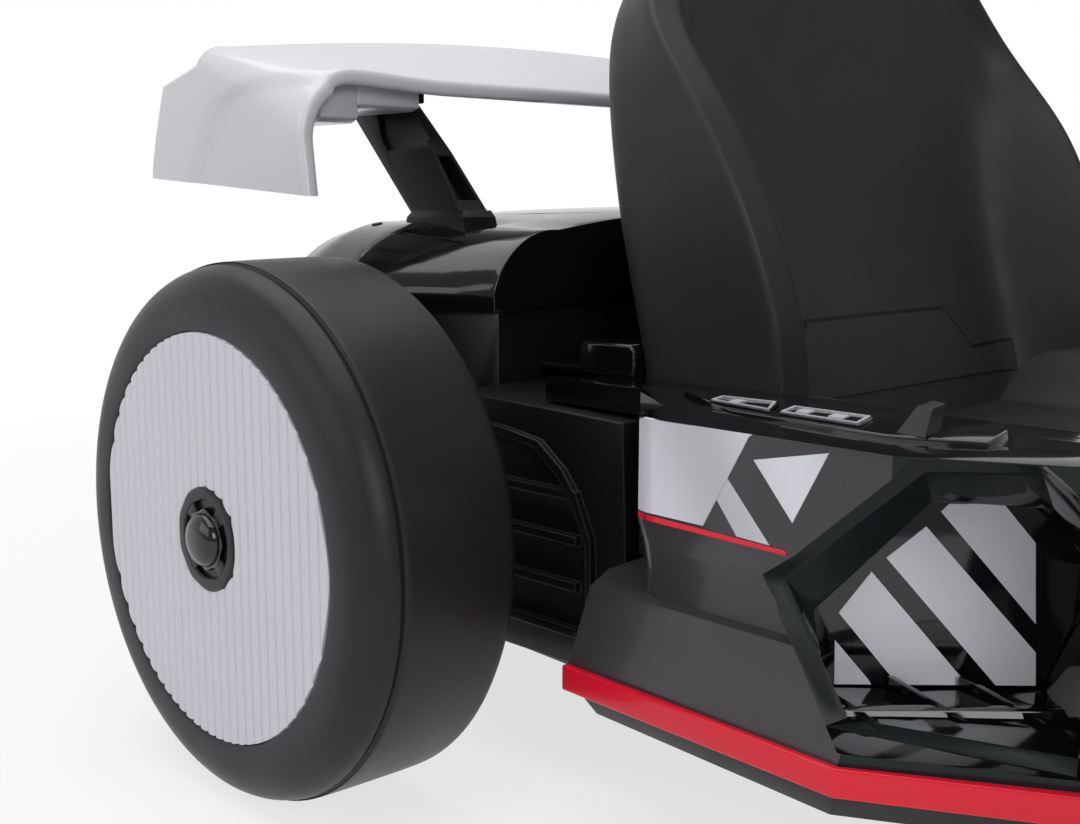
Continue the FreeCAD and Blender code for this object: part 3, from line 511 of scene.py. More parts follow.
def close_tree(tree, geometry, material):
    real = tree.node("GeometryNodeRealizeInstances", {0: geometry})
    paint = tree.node("GeometryNodeSetMaterial", {"Geometry": real.outputs[0], "Material": material})
    tree.node("NodeGroupOutput", {0: paint.outputs[0]})


def grown(group, base, values):
    """Plain mesh from a base mesh and a geometry tree with its inputs set."""
    keys = {item.name: item.identifier for item in group.interface.items_tree if item.in_out == "INPUT"}
    return modified(base, "NODES", [(keys[label], value) for label, value in values.items()],
                    node_group=group)


# Stage

class KART_OT_stage(bpy.types.Operator):
    """Floor, world, soft lights and the camera"""
    bl_idname = "kart.stage"
    bl_label = "Studio"

    def execute(self, context):
        build_floor()
        build_world(context.scene)
        build_lights()
        build_camera(context.scene)
        context.scene.view_settings.view_transform = "Standard"
        return {"FINISHED"}


def build_floor():
    """Pale floor that reads white away from the kart and keeps its shadow."""
    bm = bmesh.new()
    bmesh.ops.create_circle(bm, cap_ends=True, segments=96, radius=14.0)
    mesh = finished(bm, "floor")
    floor = new_object("floor", mesh)
    material, tree, shader, mapping = surface("floor_paint")
    tree.fill(shader, {"Base Color": (0.86, 0.86, 0.87, 1.0), "Roughness": 0.8})
    glow = tree.node("ShaderNodeEmission", {"Strength": 1.0})
    path = tree.node("ShaderNodeLightPath").outputs
    distance = tree.node("ShaderNodeVectorMath", {0: mapping.outputs["Vector"]}, operation="LENGTH")
    far = tree.node("ShaderNodeMapRange", {
        "Value": distance.outputs["Value"], "From Min": 0.5, "From Max": 1.8, "To Min": 0.72},
        interpolation_type="SMOOTHSTEP")
    seen = tree.math("MAXIMUM", path["Is Camera Ray"], path["Is Glossy Ray"])
    seen = tree.math("MAXIMUM", seen, path["Is Transmission Ray"])
    mix_shaders(tree, tree.times(seen, far.outputs["Result"]), shader, glow,
                tree.tree.nodes["Material Output"])
    mesh.materials.append(material)


def build_world(scene):
    """White behind the kart, and a dimmer room to the front for the gloss to hold its black."""
    world = bpy.data.worlds.new("studio")
    scene.world = world
    world.use_nodes = True
    tree = Tree(world.node_tree)
    tree.tree.nodes.clear()
    path = tree.node("ShaderNodeLightPath").outputs
    backdrop = tree.node("ShaderNodeBackground", {"Color": (1.0, 1.0, 1.0, 1.0), "Strength": 1.0})
    room = tree.node("ShaderNodeBackground", {"Color": (0.93, 0.96, 1.0, 1.0), "Strength": 0.34})
    coords = tree.node("ShaderNodeTexCoord")
    split = tree.node("ShaderNodeSeparateXYZ", {0: coords.outputs["Generated"]})
    behind = tree.node("ShaderNodeMapRange", {
        "Value": split.outputs["Y"], "From Min": -0.1, "From Max": 0.7, "To Min": 0.0, "To Max": 0.8},
        interpolation_type="SMOOTHSTEP")
    shiny = tree.math("MAXIMUM", path["Is Glossy Ray"], path["Is Transmission Ray"])
    seen = tree.math("MAXIMUM", path["Is Camera Ray"], tree.times(shiny, behind.outputs["Result"]))
    mix_shaders(tree, seen, room, backdrop, tree.node("ShaderNodeOutputWorld"))


# Soft boxes: name, place, size, power
LIGHTS = (
    ("top_box", (-0.3, 0.3, 2.1), (2.4, 2.0), 32.0),
    ("side_box", (-2.2, 0.5, 1.1), (1.8, 1.2), 9.5),
    ("front_fill", (-1.3, -2.0, 1.2), (1.2, 1.0), 17.0),
)
LIT_SPOT = Vector((0.0, 0.1, 0.2))


def build_lights():
    for name, place, size, power in LIGHTS:
        data = bpy.data.lights.new(name, "AREA")
        data.shape = "RECTANGLE"
        data.size, data.size_y = size
        data.energy = power
        lamp = new_object(name, data)
        lamp.location = place
        lamp.rotation_euler = (LIT_SPOT - Vector(place)).to_track_quat("-Z", "Y").to_euler()


def build_camera(scene):
    settings = scene.kart_stage
    data = bpy.data.cameras.new("camera")
    data.sensor_width = 36.0
    data.lens = settings.lens
    camera = new_object("camera", data)
    camera.location = settings.camera_place
    camera.rotation_euler = (math.pi / 2 - settings.camera_pitch, 0.0, -settings.camera_heading)
    scene.camera = camera


# Wheels

# How far each wheel's dish goes in behind its cover, and the radius of the cover's hole
WHEELS = {"rear": 122.0, "front": 61.0}
HUB_R = 26.0


def wheel_facts(stem):
    """Axle, cover plane, tyre radius and width, cover radius and cap height of a right wheel, in mm."""
    low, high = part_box(stem + "_tyre_right")
    rim_low, rim_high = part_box(stem + "_rim_right")
    cover = 0.5 - low.x / MM
    centre = (low + high) / 2
    centre.x = -cover * MM
    return {
        "centre": centre, "radius": (high.z - low.z) / 2 / MM, "width": cover + high.x / MM,
        "cover_r": (rim_high.z - rim_low.z) / 2 / MM, "cap": -rim_low.x / MM - cover,
    }


def tyre_profile(radius, width, bead):
    """Bulging wall, a fine groove at the tread's edge, a slightly crowned tread, a round inner shoulder."""
    wall = spline([
        (1.2, bead), (0.5, bead + 2.0), (0.3, bead + 8.0), (0.9, bead + 15.0), (3.0, radius - 13.0),
        (7.0, radius - 7.4), (12.0, radius - 4.0), (16.4, radius - 2.6)], 4)
    groove = [(17.2, radius - 2.8), (17.8, radius - 3.8), (18.6, radius - 3.8), (19.2, radius - 2.4)]
    tread = spline([
        (20.0, radius - 1.5), (22.0, radius - 1.0), (0.5 * width, radius - 0.4), (width - 14.0, radius - 0.1),
        (width - 9.0, radius - 1.4), (width - 4.4, radius - 5.2), (width - 1.5, radius - 11.0),
        (width - 0.3, radius - 19.0), (width - 0.3, bead + 8.0), (width - 1.2, bead)], 4)
    return wall + groove + tread


class KART_OT_tyres(bpy.types.Operator):
    """Slick tyres with a moulded groove"""
    bl_idname = "kart.tyres"
    bl_label = "Tyres"

    def execute(self, context):
        for stem in WHEELS:
            facts = wheel_facts(stem)
            profile = tyre_profile(facts["radius"], facts["width"], facts["cover_r"])
            mesh = lathe(stem + "_slick", profile, facts["centre"], context.scene.kart_sizes.lathe_steps)
            shade(mesh, 50.0)
            paired_piece(stem + "_slick", mesh, stem + "_wheel_right", "slick_tyre", [stem + "_tyre_right"])
        return {"FINISHED"}


def rim_profile(facts, reach):
    """The black wheel behind the cover: a barrel, an open dish inside and a boss on the axle."""
    cover_r, width = facts["cover_r"], facts["width"]
    dish = cover_r - 5.0
    return [
        (2.4, cover_r - 0.4), (2.4, HUB_R - 2.0), (7.0, HUB_R - 4.0), (7.0, 10.0), (reach, 10.0),
        (reach, 17.0), (reach - 2.0, 20.0), (width - 33.0, 22.0), (width - 36.0, 26.0),
        (width - 36.0, dish - 8.0), (width - 32.0, dish), (width - 2.0, dish + 1.0),
        (width - 1.0, cover_r - 1.0), (width - 1.0, cover_r - 0.4),
    ]


def rib_group():
    """A corrugated disc of upright ribs, in two runs that stop at the hub and step down at their ends."""
    group, tree, given = node_group("Cover ribs", (
        ("Count", "Int", 28), ("Steps", "Int", 10), ("Radius", "Float", 0.1), ("Hub radius", "Float", 0.026),
        ("Height", "Float", 0.0009), ("Material", "Material", None)))
    # A sheet one long and two wide. Its four rows of points are a run's two ends and their two steps.
    columns = tree.math("ADD", tree.times(given["Count"], given["Steps"]), 1.0)
    grid = tree.node("GeometryNodeMeshGrid", {
        "Size X": 1.0, "Size Y": 2.0, "Vertices X": 4, "Vertices Y": columns})
    split = tree.node("ShaderNodeSeparateXYZ", {0: tree.node("GeometryNodeInputPosition").outputs[0]})
    along = tree.math("ADD", split.outputs["X"], 0.5)
    share = tree.math("SUBTRACT", tree.times(along, 3.0), 1.0, clamp=True)
    across = tree.times(split.outputs["Y"], given["Radius"])

    def chord(radius):
        square = tree.minus(tree.times(radius, radius), tree.times(across, across))
        return tree.math("SQRT", tree.math("MAXIMUM", square, 0.0))

    inner = chord(given["Hub radius"])
    reach = tree.times(share, tree.minus(chord(given["Radius"]), inner))
    place = tree.math("ADD", inner, reach)
    # Each rib is a rounded wave across the disc
    turns = tree.times(tree.math("ADD", split.outputs["Y"], 1.0), tree.times(given["Count"], 0.5))
    offset = tree.math("ABSOLUTE", tree.minus(tree.times(tree.math("FRACT", turns), 2.0), 1.0))
    wave = tree.minus(1.0, tree.math("POWER", offset, 3.0))
    # The first and last rows stay down, apart from the first where there is no hub to stop at
    begun = tree.math("MAXIMUM", tree.math("GREATER_THAN", along, 0.1),
                      tree.math("LESS_THAN", inner, 0.000001))
    kept = tree.times(begun, tree.math("LESS_THAN", along, 0.9))
    height = tree.times(tree.times(wave, given["Height"]), kept)
    join = tree.node("GeometryNodeJoinGeometry")
    for sign in (1.0, -1.0):
        spots = tree.node("ShaderNodeCombineXYZ", {
            "X": tree.times(height, -1.0), "Y": across, "Z": tree.times(place, sign)})
        run = tree.node("GeometryNodeSetPosition", {
            "Geometry": grid.outputs["Mesh"], "Position": spots.outputs[0]}).outputs[0]
        if sign < 0:
            run = tree.node("GeometryNodeFlipFaces", {"Mesh": run}).outputs["Mesh"]
        tree.fill(join, {0: run})
    weld = tree.node("GeometryNodeMergeByDistance", {"Geometry": join.outputs[0], "Distance": 0.00001})
    close_tree(tree, weld.outputs[0], given["Material"])
    return group


def cover_mesh(name, facts, count, sizes):
    """Silver disc round the hub with its upright ribs, set on the wheel's outer face."""
    cover_r = facts["cover_r"]
    base = 0.2 + sizes.rib_height / MM
    disc = lathe(name, [(base, HUB_R - 0.4), (base, cover_r - 0.8), (base + 0.6, cover_r - 0.3),
                        (3.0, cover_r - 0.3), (3.0, HUB_R - 0.4)], facts["centre"], sizes.lathe_steps)
    group = bpy.data.node_groups.get("Cover ribs") or rib_group()
    ribs = grown(group, bpy.data.meshes.new(name), {
        "Count": count, "Radius": (cover_r - 0.7) * MM, "Hub radius": HUB_R * MM,
        "Height": sizes.rib_height, "Material": finish("cover_silver")})
    ribs.transform(Matrix.Translation(facts["centre"] + Vector(((base - 0.02) * MM, 0, 0))))
    return joined(name, [disc, ribs])


class KART_OT_wheels(bpy.types.Operator):
    """Black wheels and their ribbed silver covers"""
    bl_idname = "kart.wheels"
    bl_label = "Wheel covers"

    def execute(self, context):
        sizes = context.scene.kart_sizes
        for stem, reach in WHEELS.items():
            facts = wheel_facts(stem)
            body, dish, cover = stem + "_wheel_right", stem + "_wheel_dish", stem + "_cover"
            mesh = lathe(dish, rim_profile(facts, reach), facts["centre"], sizes.lathe_steps)
            shade(mesh, 35.0)
            paired_piece(dish, mesh, body, "satin_black", [stem + "_rim_right"])
            mesh = cover_mesh(cover, facts, getattr(sizes, stem + "_ribs"), sizes)
            paired_piece(cover, mesh, body, "cover_silver")
        return {"FINISHED"}


def lobed(name, rows, centre, lobes):
    """Lathe work whose radius swells at each lobe: rows of inboard, radius, swell."""
    rings = []
    for inboard, radius, swell in rows:
        rings.append([])
        for turn in round_turn(160):
            reach = (radius + swell * math.cos(lobes * turn)) * MM
            rings[-1].append((centre.x + inboard * MM, centre.y + reach * math.sin(turn),
                              centre.z + reach * math.cos(turn)))
    return skinned(name, rings, 30.0)


def hub_ring(name, facts):
    """Dark collar flush with the cover, notched round its edge, with four bridges over the recess."""
    centre = facts["centre"]
    rows = [(2.0, 26.4, 0.0), (0.2, 26.3, 0.12), (-0.5, 25.6, 0.3), (-0.7, 24.8, 0.2), (-0.6, 20.6, 0.0),
            (0.2, 19.8, 0.0), (6.6, 19.4, 0.0), (6.6, 21.5, 0.0), (2.0, 26.4, 0.0)]
    parts = [lobed(name, rows, centre, 10)]
    for turn in (45.0, 135.0, 225.0, 315.0):
        ca, sa = math.cos(math.radians(turn)), math.sin(math.radians(turn))
        outline = [centre + Vector((-0.4, y * ca - z * sa, y * sa + z * ca)) * MM
                   for y, z in ((-3.6, 14.0), (3.6, 14.0), (4.4, 20.4), (-4.4, 20.4))]
        parts.append(extruded(name, outline, Vector((6.4 * MM, 0, 0)), 0.0006))
    return joined(name, parts)


def hub_dome(name, facts):
    """Glossy ball cap on a wavy eight-sided foot."""
    centre, cap = facts["centre"], facts["cap"]
    foot = lobed(name, [(6.9, 15.0, 0.0), (0.6, 15.4, 0.6), (-0.6, 15.0, 0.6), (-1.0, 14.0, 0.5),
                        (-1.0, 12.0, 0.0), (6.9, 12.0, 0.0)], centre, 8)
    ball_r = 13.6
    dome = [(-0.8 - (cap - 1.0) * math.sin(turn), ball_r * math.cos(turn) ** 0.8)
            for turn in (math.pi / 2 * i / 12 for i in range(12))]
    ball = lathe(name, [(6.8, 0.0), (6.8, ball_r)] + dome + [(-cap + 0.2, 0.0)], centre, 64, closed=False)
    return joined(name, [foot, ball])


class KART_OT_hubs(bpy.types.Operator):
    """Hub collars and domed caps"""
    bl_idname = "kart.hubs"
    bl_label = "Hubs"

    def execute(self, context):
        for stem in WHEELS:
            facts = wheel_facts(stem)
            body = stem + "_wheel_right"
            paired_piece(stem + "_hub_collar", hub_ring(stem, facts), body, "pedal_grey", look="satin_black")
            paired_piece(stem + "_hub_cap", hub_dome(stem, facts), body, "gloss_black")
        return {"FINISHED"}


# Seat

# Height, rear in the middle, rear at the side, half width behind, half width in front, front of the
# bolster, inner edge of its strip, half width of the backrest, backrest face at the side, in the middle
SEAT_ROWS = (
    (150, -64, -92, 176, 180, -194, 163, 140, -150, -150),
    (208, -62, -93, 178, 183, -191, 166, 142, -138, -136),
    (235, -58, -88, 179, 185, -190, 168, 144, -130, -126),
    (262, -54, -82, 180, 189, -185, 172, 146, -121, -114),
    (300, -50, -75, 182, 195, -174, 178, 148, -111, -100),
    (348, -48, -70, 184, 200, -150, 183, 149, -101, -90),
    (385, -46, -68, 182, 199, -122, 182, 147, -93, -84),
    (412, -45, -66, 169, 187, -106, 170, 136, -87, -81),
    (445, -44, -62, 141, 161, -96, 144, 110, -83, -79),
    (482, -44, -58, 108, 128, -88, 112, 78, -80, -77),
    (506, -46, -55, 76, 96, -82, 82, 50, -77, -75),
    (517, -51, -57, 54, 72, -76, 62, 36, -73, -72),
)
# Points of a level that lie on the edges of the bolster's strip, counted from the middle of the rear
STRIP_EDGES = (7, 9)


def seat_ring(row):
    """One level of the backrest: round the rear, along the side, over the bolster's strip and back inside."""
    z, rear, rear_side, back, front_half, front, strip, inner, face_side, face = row
    half = [
        (0.0, rear), (0.35 * back, mixed(rear, rear_side, 0.1)), (0.68 * back, mixed(rear, rear_side, 0.42)),
        (back - 9.0, rear_side + 5.0), (back, rear_side - 5.0),
        (mixed(back, front_half, 0.5), mixed(rear_side, front, 0.5)), (front_half, front + 3.5),
        (front_half - 1.2, front + 0.6), (mixed(front_half, strip, 0.5), front - 2.4),
        (strip + 1.0, front - 5.5), (strip - 3.5, front - 2.5),
        (mixed(strip, inner, 0.55), mixed(front, face_side, 0.55)), (inner + 2.0, face_side - 8.0),
        (inner - 10.0, face_side + 0.5), (0.6 * inner, mixed(face_side, face, 0.6)), (0.0, face),
    ]
    ring = [spot(x, y, z) for x, y in half]
    return ring + [spot(-x, y, z) for x, y in reversed(half[1:-1])]


def seat_back():
    """Backrest and bolsters as one smooth shell with two crisp edges along each bolster's strip."""
    rings = [seat_ring(row) for row in spline(SEAT_ROWS, 2)]
    count = len(rings[0])
    bm = bmesh.new()
    bm.from_mesh(skinned("seat_back", rings, 32.0))
    bm.verts.ensure_lookup_table()
    crease = bm.edges.layers.float.new("crease_edge")
    for level in range(len(rings) - 1):
        for i in STRIP_EDGES + tuple(count - i for i in STRIP_EDGES):
            ends = bm.verts[level * count + i], bm.verts[(level + 1) * count + i]
            bm.edges.get(ends)[crease] = 0.9
    made = modified(finished(bm, "seat_back"), "SUBSURF", levels=2, render_levels=2)
    shade(made, 60.0)
    return made


# Seat pan: its foot, its middle's height with the rise to the front and the dip, the thigh bolsters' height
# at the rear and at the front, and how far the rounded lip and the rounded rim drop
SEAT_FOOT, PAN_Z, PAN_RISE, PAN_DIP = 66.5, 171.0, 5.0, 3.0
BOLSTER_REAR, BOLSTER_FRONT, LIP_DROP, RIM_DROP = 206.0, 180.0, 16.0, 14.0


def seat_pan():
    """Moulded seat pan with thigh bolsters and a rounded front lip, closed down to the floor pan."""
    xs = [-180.0 + 6.0 * i for i in range(61)]
    ys = [-342.0 + 6.0 * i for i in range(42)]
    rings = []
    for x in xs:
        reach = abs(x)
        rim = 1.0 - eased(reach, 168.0, 180.5)
        ring = [spot(x, ys[0] + 2.0, SEAT_FOOT)]
        for y in ys:
            lip = eased(y, -344.0, -322.0)
            pan = PAN_Z + PAN_RISE * eased(-y, 250.0, 320.0) - PAN_DIP * (1.0 - (reach / 150.0) ** 2)
            bolster = mixed(BOLSTER_REAR, BOLSTER_FRONT, eased(-y, 205.0, 330.0))
            top = mixed(pan, bolster, eased(reach, 122.0, 160.0))
            top -= LIP_DROP * (1.0 - lip) ** 2 + RIM_DROP * (1.0 - rim) ** 2
            ring.append(spot(x * (1.0 - 0.02 * (1.0 - lip)), y, top))
        ring.append(spot(x, ys[-1], SEAT_FOOT))
        rings.append(ring)
    return skinned("seat_pan", rings, 50.0)


# The backrest's raised lower pad, and a dark strip of painted shade round it in place of a groove: name,
# slot, lift, then rows of across, height
SEAT_FILMS = (
    ("seat_pad", "seat_grey", 0.0018, (
        (-140, 190), (-140, 209), (-100, 206), (-75, 233), (75, 233), (100, 206), (140, 209), (140, 190))),
    # Painted shade: a thin matt black strip draped round the pad, standing in for the shadow in a groove
    ("seat_groove", "matte_black", 0.0003, (
        (-142, 189), (-142, 211), (-102, 208.2), (-76.6, 235.1), (76.6, 235.1), (102, 208.2), (142, 211),
        (142, 189))),
)


class KART_OT_seat(bpy.types.Operator):
    """Moulded bucket seat"""
    bl_idname = "kart.seat"
    bl_label = "Seat"

    def execute(self, context):
        shell = joined("seat_shell", [seat_back(), seat_pan()])
        shade(shell, 55.0)
        new_piece("seat_shell", shell, "chassis", "seat_grey", ["seat"])
        for name, slot_name, lift, rows in SEAT_FILMS:
            mesh = laid_on(name, "seat_shell", [spot(x, -135, z) for x, z in rows], Vector((0, 1, 0)),
                           lift=lift, cell=0.006, depth=lift + 0.0006)
            new_piece(name, mesh, "chassis", slot_name)
        rounded_copy("seat_brackets", "seat_bracket_blocks", "gloss_black", 0.003)
        return {"FINISHED"}


# Wing

# Half span, wall, front and rear edges behind the axle, top at the front and its rise to the rear, crown
# in the middle, end plate's lean, foot and rear edge with its knee, corner's radii, and the step's height
WING = {"half": 300.0, "wall": 9.0, "front": 49.0, "rear": 149.0, "front_z": 375.5, "slope": 0.212,
        "crown": 0.178, "lean": 4.0, "leg_front_z": 305.0, "leg_rear_z": 317.0, "leg_rear": 214.0,
        "corner": 198.6, "shoulder": 157.0, "knee": 0.75, "front_round": 40.0, "rear_round": 16.0,
        "step": 3.0}
# The soft step round the wing's corner: behind the axle, distance out along the sheet from the flat top
WING_STEP = ((49.0, 20.0), (62.0, 24.0), (80.0, 29.0), (98.0, 34.0), (112.0, 39.0), (127.0, 45.0),
             (134.0, 52.0), (141.0, 59.0), (150.0, 74.0), (170.0, 104.0))


def step_place(y):
    """How far out the step lies at one place behind the axle."""
    for (a, first), (b, second) in zip(WING_STEP, WING_STEP[1:]):
        if y <= b:
            return mixed(first, second, risen(y, a, b))
    return WING_STEP[-1][1]


def step_height(y, out):
    """Height of the step, which fades away along the top."""
    past = step_place(y) - out
    return WING["step"] * (eased(past, -3.0, 3.5) * (1.0 - eased(past, 14.0, 90.0)) - 1.0)


def wing_top(y):
    return WING["front_z"] + WING["slope"] * (y - WING["front"])


def wing_round(y):
    """Radius of the corner, which tightens to the rear."""
    return mixed(WING["front_round"], WING["rear_round"], risen(y, WING["front"], WING["rear"]))


def wing_spot(station, chord, inset):
    """A point of the moulded sheet. Stations run up the end plate, round the corner and along the top."""
    part, t = station
    w = WING
    if part == "leg":
        if t < w["knee"]:
            rear = mixed(w["leg_rear"], w["corner"], t / w["knee"])
        else:
            rear = mixed(w["corner"], w["shoulder"], (t - w["knee"]) / (1.0 - w["knee"]))
        foot_y = w["front"] - w["lean"]
        y = mixed(foot_y + w["lean"] * t, rear, chord)
        foot = mixed(w["leg_front_z"], w["leg_rear_z"], (y - foot_y) / (w["leg_rear"] - foot_y))
        top = wing_top(y) - wing_round(y)
        z = mixed(foot, top, t)
        lift = step_height(y, math.pi / 2 * wing_round(y) + top - z) - inset
        return spot(-w["half"] - lift, y, z)
    if part == "arc":
        turn = math.pi / 2 * t
        y = mixed(w["front"], w["rear"] + (w["shoulder"] - w["rear"]) * (1.0 - math.sin(turn)), chord)
        lift = step_height(y, (math.pi / 2 - turn) * wing_round(y)) - inset
        reach = wing_round(y) + lift
        return spot(-(w["half"] - wing_round(y) + reach * math.cos(turn)), y,
                    wing_top(y) - wing_round(y) + reach * math.sin(turn))
    y = mixed(w["front"], w["rear"], chord)
    flat = w["half"] - wing_round(y)
    x = flat * (1.0 - t)
    crown = w["crown"] * (y - w["front"]) * (1.0 - (x / flat) ** 2)
    lift = step_height(y, x - flat) - inset
    return spot(-x, y, wing_top(y) + crown + lift)


def wing_sheet():
    """The sheet's cross-sections from the right end plate's foot to the left one's."""
    wall = WING["wall"]
    # Share of the chord and of the wall at the rounded front and rear edges
    edge = [(0.0, 0.34), (0.004, 0.12), (0.018, 0.0)]
    face = [0.018 + 0.964 * i / 26 for i in range(1, 26)]
    outer = [(c, wall * d) for c, d in edge] + [(c, 0.0) for c in face]
    outer += [(1.0 - c, wall * d) for c, d in reversed(edge)]
    loop = outer + [(c, wall - d) for c, d in reversed(outer)]
    stations = [("leg", i / 12) for i in range(12)] + [("arc", i / 14) for i in range(14)]
    stations += [("top", i / 24) for i in range(25)]
    half = [[wing_spot(station, chord, inset) for chord, inset in loop] for station in stations]
    other = [[Vector((-p.x, p.y, p.z)) for p in ring] for ring in reversed(half[:-1])]
    return skinned("wing_sheet", half + other, 55.0)


# Blocks under the sheet: outer side, width, then rows of behind the axle and height, underside first
SHEET_LINE = ((119.0, 385.5), (60.0, 372.5))
MOUNT_BLOCKS = (
    (-276.0, 26.0, ((60.0, 349.0), (66.0, 346.5), (118.0, 346.5)) + SHEET_LINE),
    (-250.3, 45.3, ((60.0, 357.0), (66.0, 355.0), (118.0, 355.0)) + SHEET_LINE),
    (-205.5, 5.6, ((60.0, 366.0), (119.0, 366.0)) + SHEET_LINE),
)
STRUT_CAP = ((-204.8, 4.6, ((61.0, 360.0), (118.0, 360.0), (118.0, 367.0), (61.0, 367.0))),)


class KART_OT_wing(bpy.types.Operator):
    """Moulded wing with its mounting blocks"""
    bl_idname = "kart.wing"
    bl_label = "Wing"

    def execute(self, context):
        new_piece("wing_sheet", wing_sheet(), "chassis", "pearl_white", ["wing"])
        for name, slot_name, blocks in (("wing_mount", "pearl_white", MOUNT_BLOCKS),
                                        ("strut_cap", "matte_black", STRUT_CAP)):
            parts = [extruded(name, [spot(x, y, z) for y, z in rows], Vector((width * MM, 0, 0)), 0.0012)
                     for x, width, rows in blocks]
            paired_piece(name, joined(name, parts), "chassis", slot_name)
        return {"FINISHED"}


# Panels and mechanism, which keep their CAD form: edge radius of each node, or of both nodes of a pair
PANELS = {
    "pod": 1.8, "stripe": 1.0, "intake_plate": 0.5, "well": 1.4, "fairing": 2.5, "drive_box": 4.0,
    "drive_cover": 3.0, "strut": 1.0, "nose": 3.5, "front_bumper": 3.0, "floor_pan": 3.0,
    "switch_panel": 0.8, "switch_buttons": 0.6, "shift_lever": 1.2,
}
MECHANISM = {
    "front_beam": 1.5, "knuckle": 1.0, "throttle_pedal": 1.2, "brake_pedal": 1.2, "tie_rod": 0.6,
    "rear_axle": 0.5, "steering_column": 1.5, "steering_shaft": 0.5, "battery": 3.0, "gearbox": 3.0,
}
# Dark bases under silver strips and frames
DARK_BASES = ("intake_plate_right", "intake_plate_left", "switch_buttons")


def dressed(radii):
    slots = {p["node"]: p["material_slot"] for p in frame["record"]["subparts"]}
    slots.update((node, "gloss_black") for node in DARK_BASES)
    for stem, radius in radii.items():
        for node in [stem] if stem in slots else [stem + "_" + word for word in SIDES]:
            rounded_copy(node, node + "_shell", slots[node], radius * MM)


# Middle of the intake's opening, which faces forward and out by 45 degrees: across, ahead of the axle
INTAKE_X, INTAKE_FORWARD = 303.0, 300.0
# Outline of the intake's outer edge and the strips on its plate: across the opening, height
INTAKE_OUTER = ((-18.4, 154.0), (27.1, 210.5), (70.0, 210.5), (140.0, 150.0), (89.0, 94.5), (5.6, 95.3))
PLATE_DEPTH = 53.0
PLATE_STRIPS = (
    ((16.5, 99.8), (16.1, 119.3), (30.9, 101.8), (32.0, 99.8)),
    ((17.3, 131.2), (30.4, 149.0), (72.7, 99.8), (43.2, 99.8)),
    ((36.3, 155.0), (52.3, 168.5), (100.4, 114.3), (101.2, 99.8), (84.4, 99.8)),
    ((58.1, 174.8), (61.4, 178.1), (83.9, 178.1), (97.8, 161.6), (99.7, 126.8)),
)


def intake_spot(across, z, depth):
    return spot(-INTAKE_X + (across + depth) * DIAGONAL, -INTAKE_FORWARD + (depth - across) * DIAGONAL, z)


def in_intake(across, z):
    """Whether a place lies well within the outline of the intake's outer edge."""
    margin = 2.5
    for (ax, ay), (bx, by) in zip(INTAKE_OUTER, INTAKE_OUTER[1:] + INTAKE_OUTER[:1]):
        if (bx - ax) * (z - ay) - (by - ay) * (across - ax) > margin * math.hypot(bx - ax, by - ay):
            return False
    return True


# Painted side, gloss top with the rear shoulder and the pocket, intake rim, skirt below the red band
POD_FINISHES = ("charcoal", "gloss_black", "rim_grey", "matte_black")
SKIRT_TOP, DECK_Z = 79.0, 205.0
SHOULDER_Y, SHOULDER_Z = -203.0, 142.0
# Depths of the pocket's mouth and end, and depth of the rim with its change across the opening
POCKET_MOUTH, POCKET_END, RIM_DEPTH, RIM_SLOPE = -62.0, 60.0, 44.0, 0.54
# How far a face of the rim turns out of the pocket, and how level a face of the deck is
RIM_FACING, DECK_LEVEL = -0.45, 0.7


def pod_region(polygon):
    """Place in POD_FINISHES of one face of a side pod."""
    x, z = -abs(polygon.center.x) / MM, polygon.center.z / MM
    if z < SKIRT_TOP:
        return 3
    y = (polygon.center.y - REAR_AXLE.y) / MM
    depth = (x + INTAKE_X + y + INTAKE_FORWARD) * DIAGONAL
    across = (x + INTAKE_X - y - INTAKE_FORWARD) * DIAGONAL
    if POCKET_MOUTH < depth < POCKET_END and in_intake(across, z):
        side = -1.0 if polygon.center.x < 0 else 1.0
        facing = (-side * polygon.normal.x + polygon.normal.y) * DIAGONAL
        return 2 if facing < RIM_FACING and depth < RIM_DEPTH - RIM_SLOPE * across else 1
    if (polygon.normal.z > DECK_LEVEL and z > DECK_Z) or (y > SHOULDER_Y and z > SHOULDER_Z):
        return 1
    return 0


class KART_OT_panels(bpy.types.Operator):
    """Side pods, wells, cover, nose and bumper"""
    bl_idname = "kart.panels"
    bl_label = "Panels"

    def execute(self, context):
        dressed(PANELS)
        for word in SIDES:
            mesh = bpy.data.objects["pod_" + word + "_shell"].data
            for name in POD_FINISHES[1:]:
                mesh.materials.append(finish(name))
            for polygon in mesh.polygons:
                polygon.material_index = pod_region(polygon)
        return {"FINISHED"}


class KART_OT_mechanism(bpy.types.Operator):
    """Front beam, knuckles, rods, pedals and drive blocks"""
    bl_idname = "kart.mechanism"
    bl_label = "Mechanism"

    def execute(self, context):
        dressed(MECHANISM)
        return {"FINISHED"}


class KART_OT_intake(bpy.types.Operator):
    """Silver strips on the dark plate in each intake"""
    bl_idname = "kart.intake"
    bl_label = "Intake strips"

    def execute(self, context):
        inward = intake_spot(0, 0, 0.6) - intake_spot(0, 0, 0)
        meshes = [extruded("intake_strips", [intake_spot(a, z, PLATE_DEPTH - 0.4) for a, z in rows], inward)
                  for rows in PLATE_STRIPS]
        # The strips take the lightened silver_plate finish, painted light that offsets the pocket's shade
        paired_piece("intake_strips", joined("intake_strips", meshes), "chassis", "silver_plate")
        return {"FINISHED"}


# Livery films: name, finish and outline. On a pod's side: behind the axle, height
POD_FILMS = (
    ("livery_block", "silver_film", ((-200.8, 215.0), (-262.8, 212.9), (-238.5, 169.9), (-200.4, 170.4))),
    ("livery_bar", "silver_film", ((-250.9, 191.5), (-272.5, 167.9), (-256.1, 168.6), (-245.5, 182.0))),
    ("livery_triangle", "silver_film", ((-263.7, 201.0), (-298.9, 208.4), (-283.1, 178.8))),
    ("livery_line", "stripe_red", ((-200.4, 169.6), (-280.2, 167.2), (-280.2, 165.2), (-200.4, 167.0))),
)
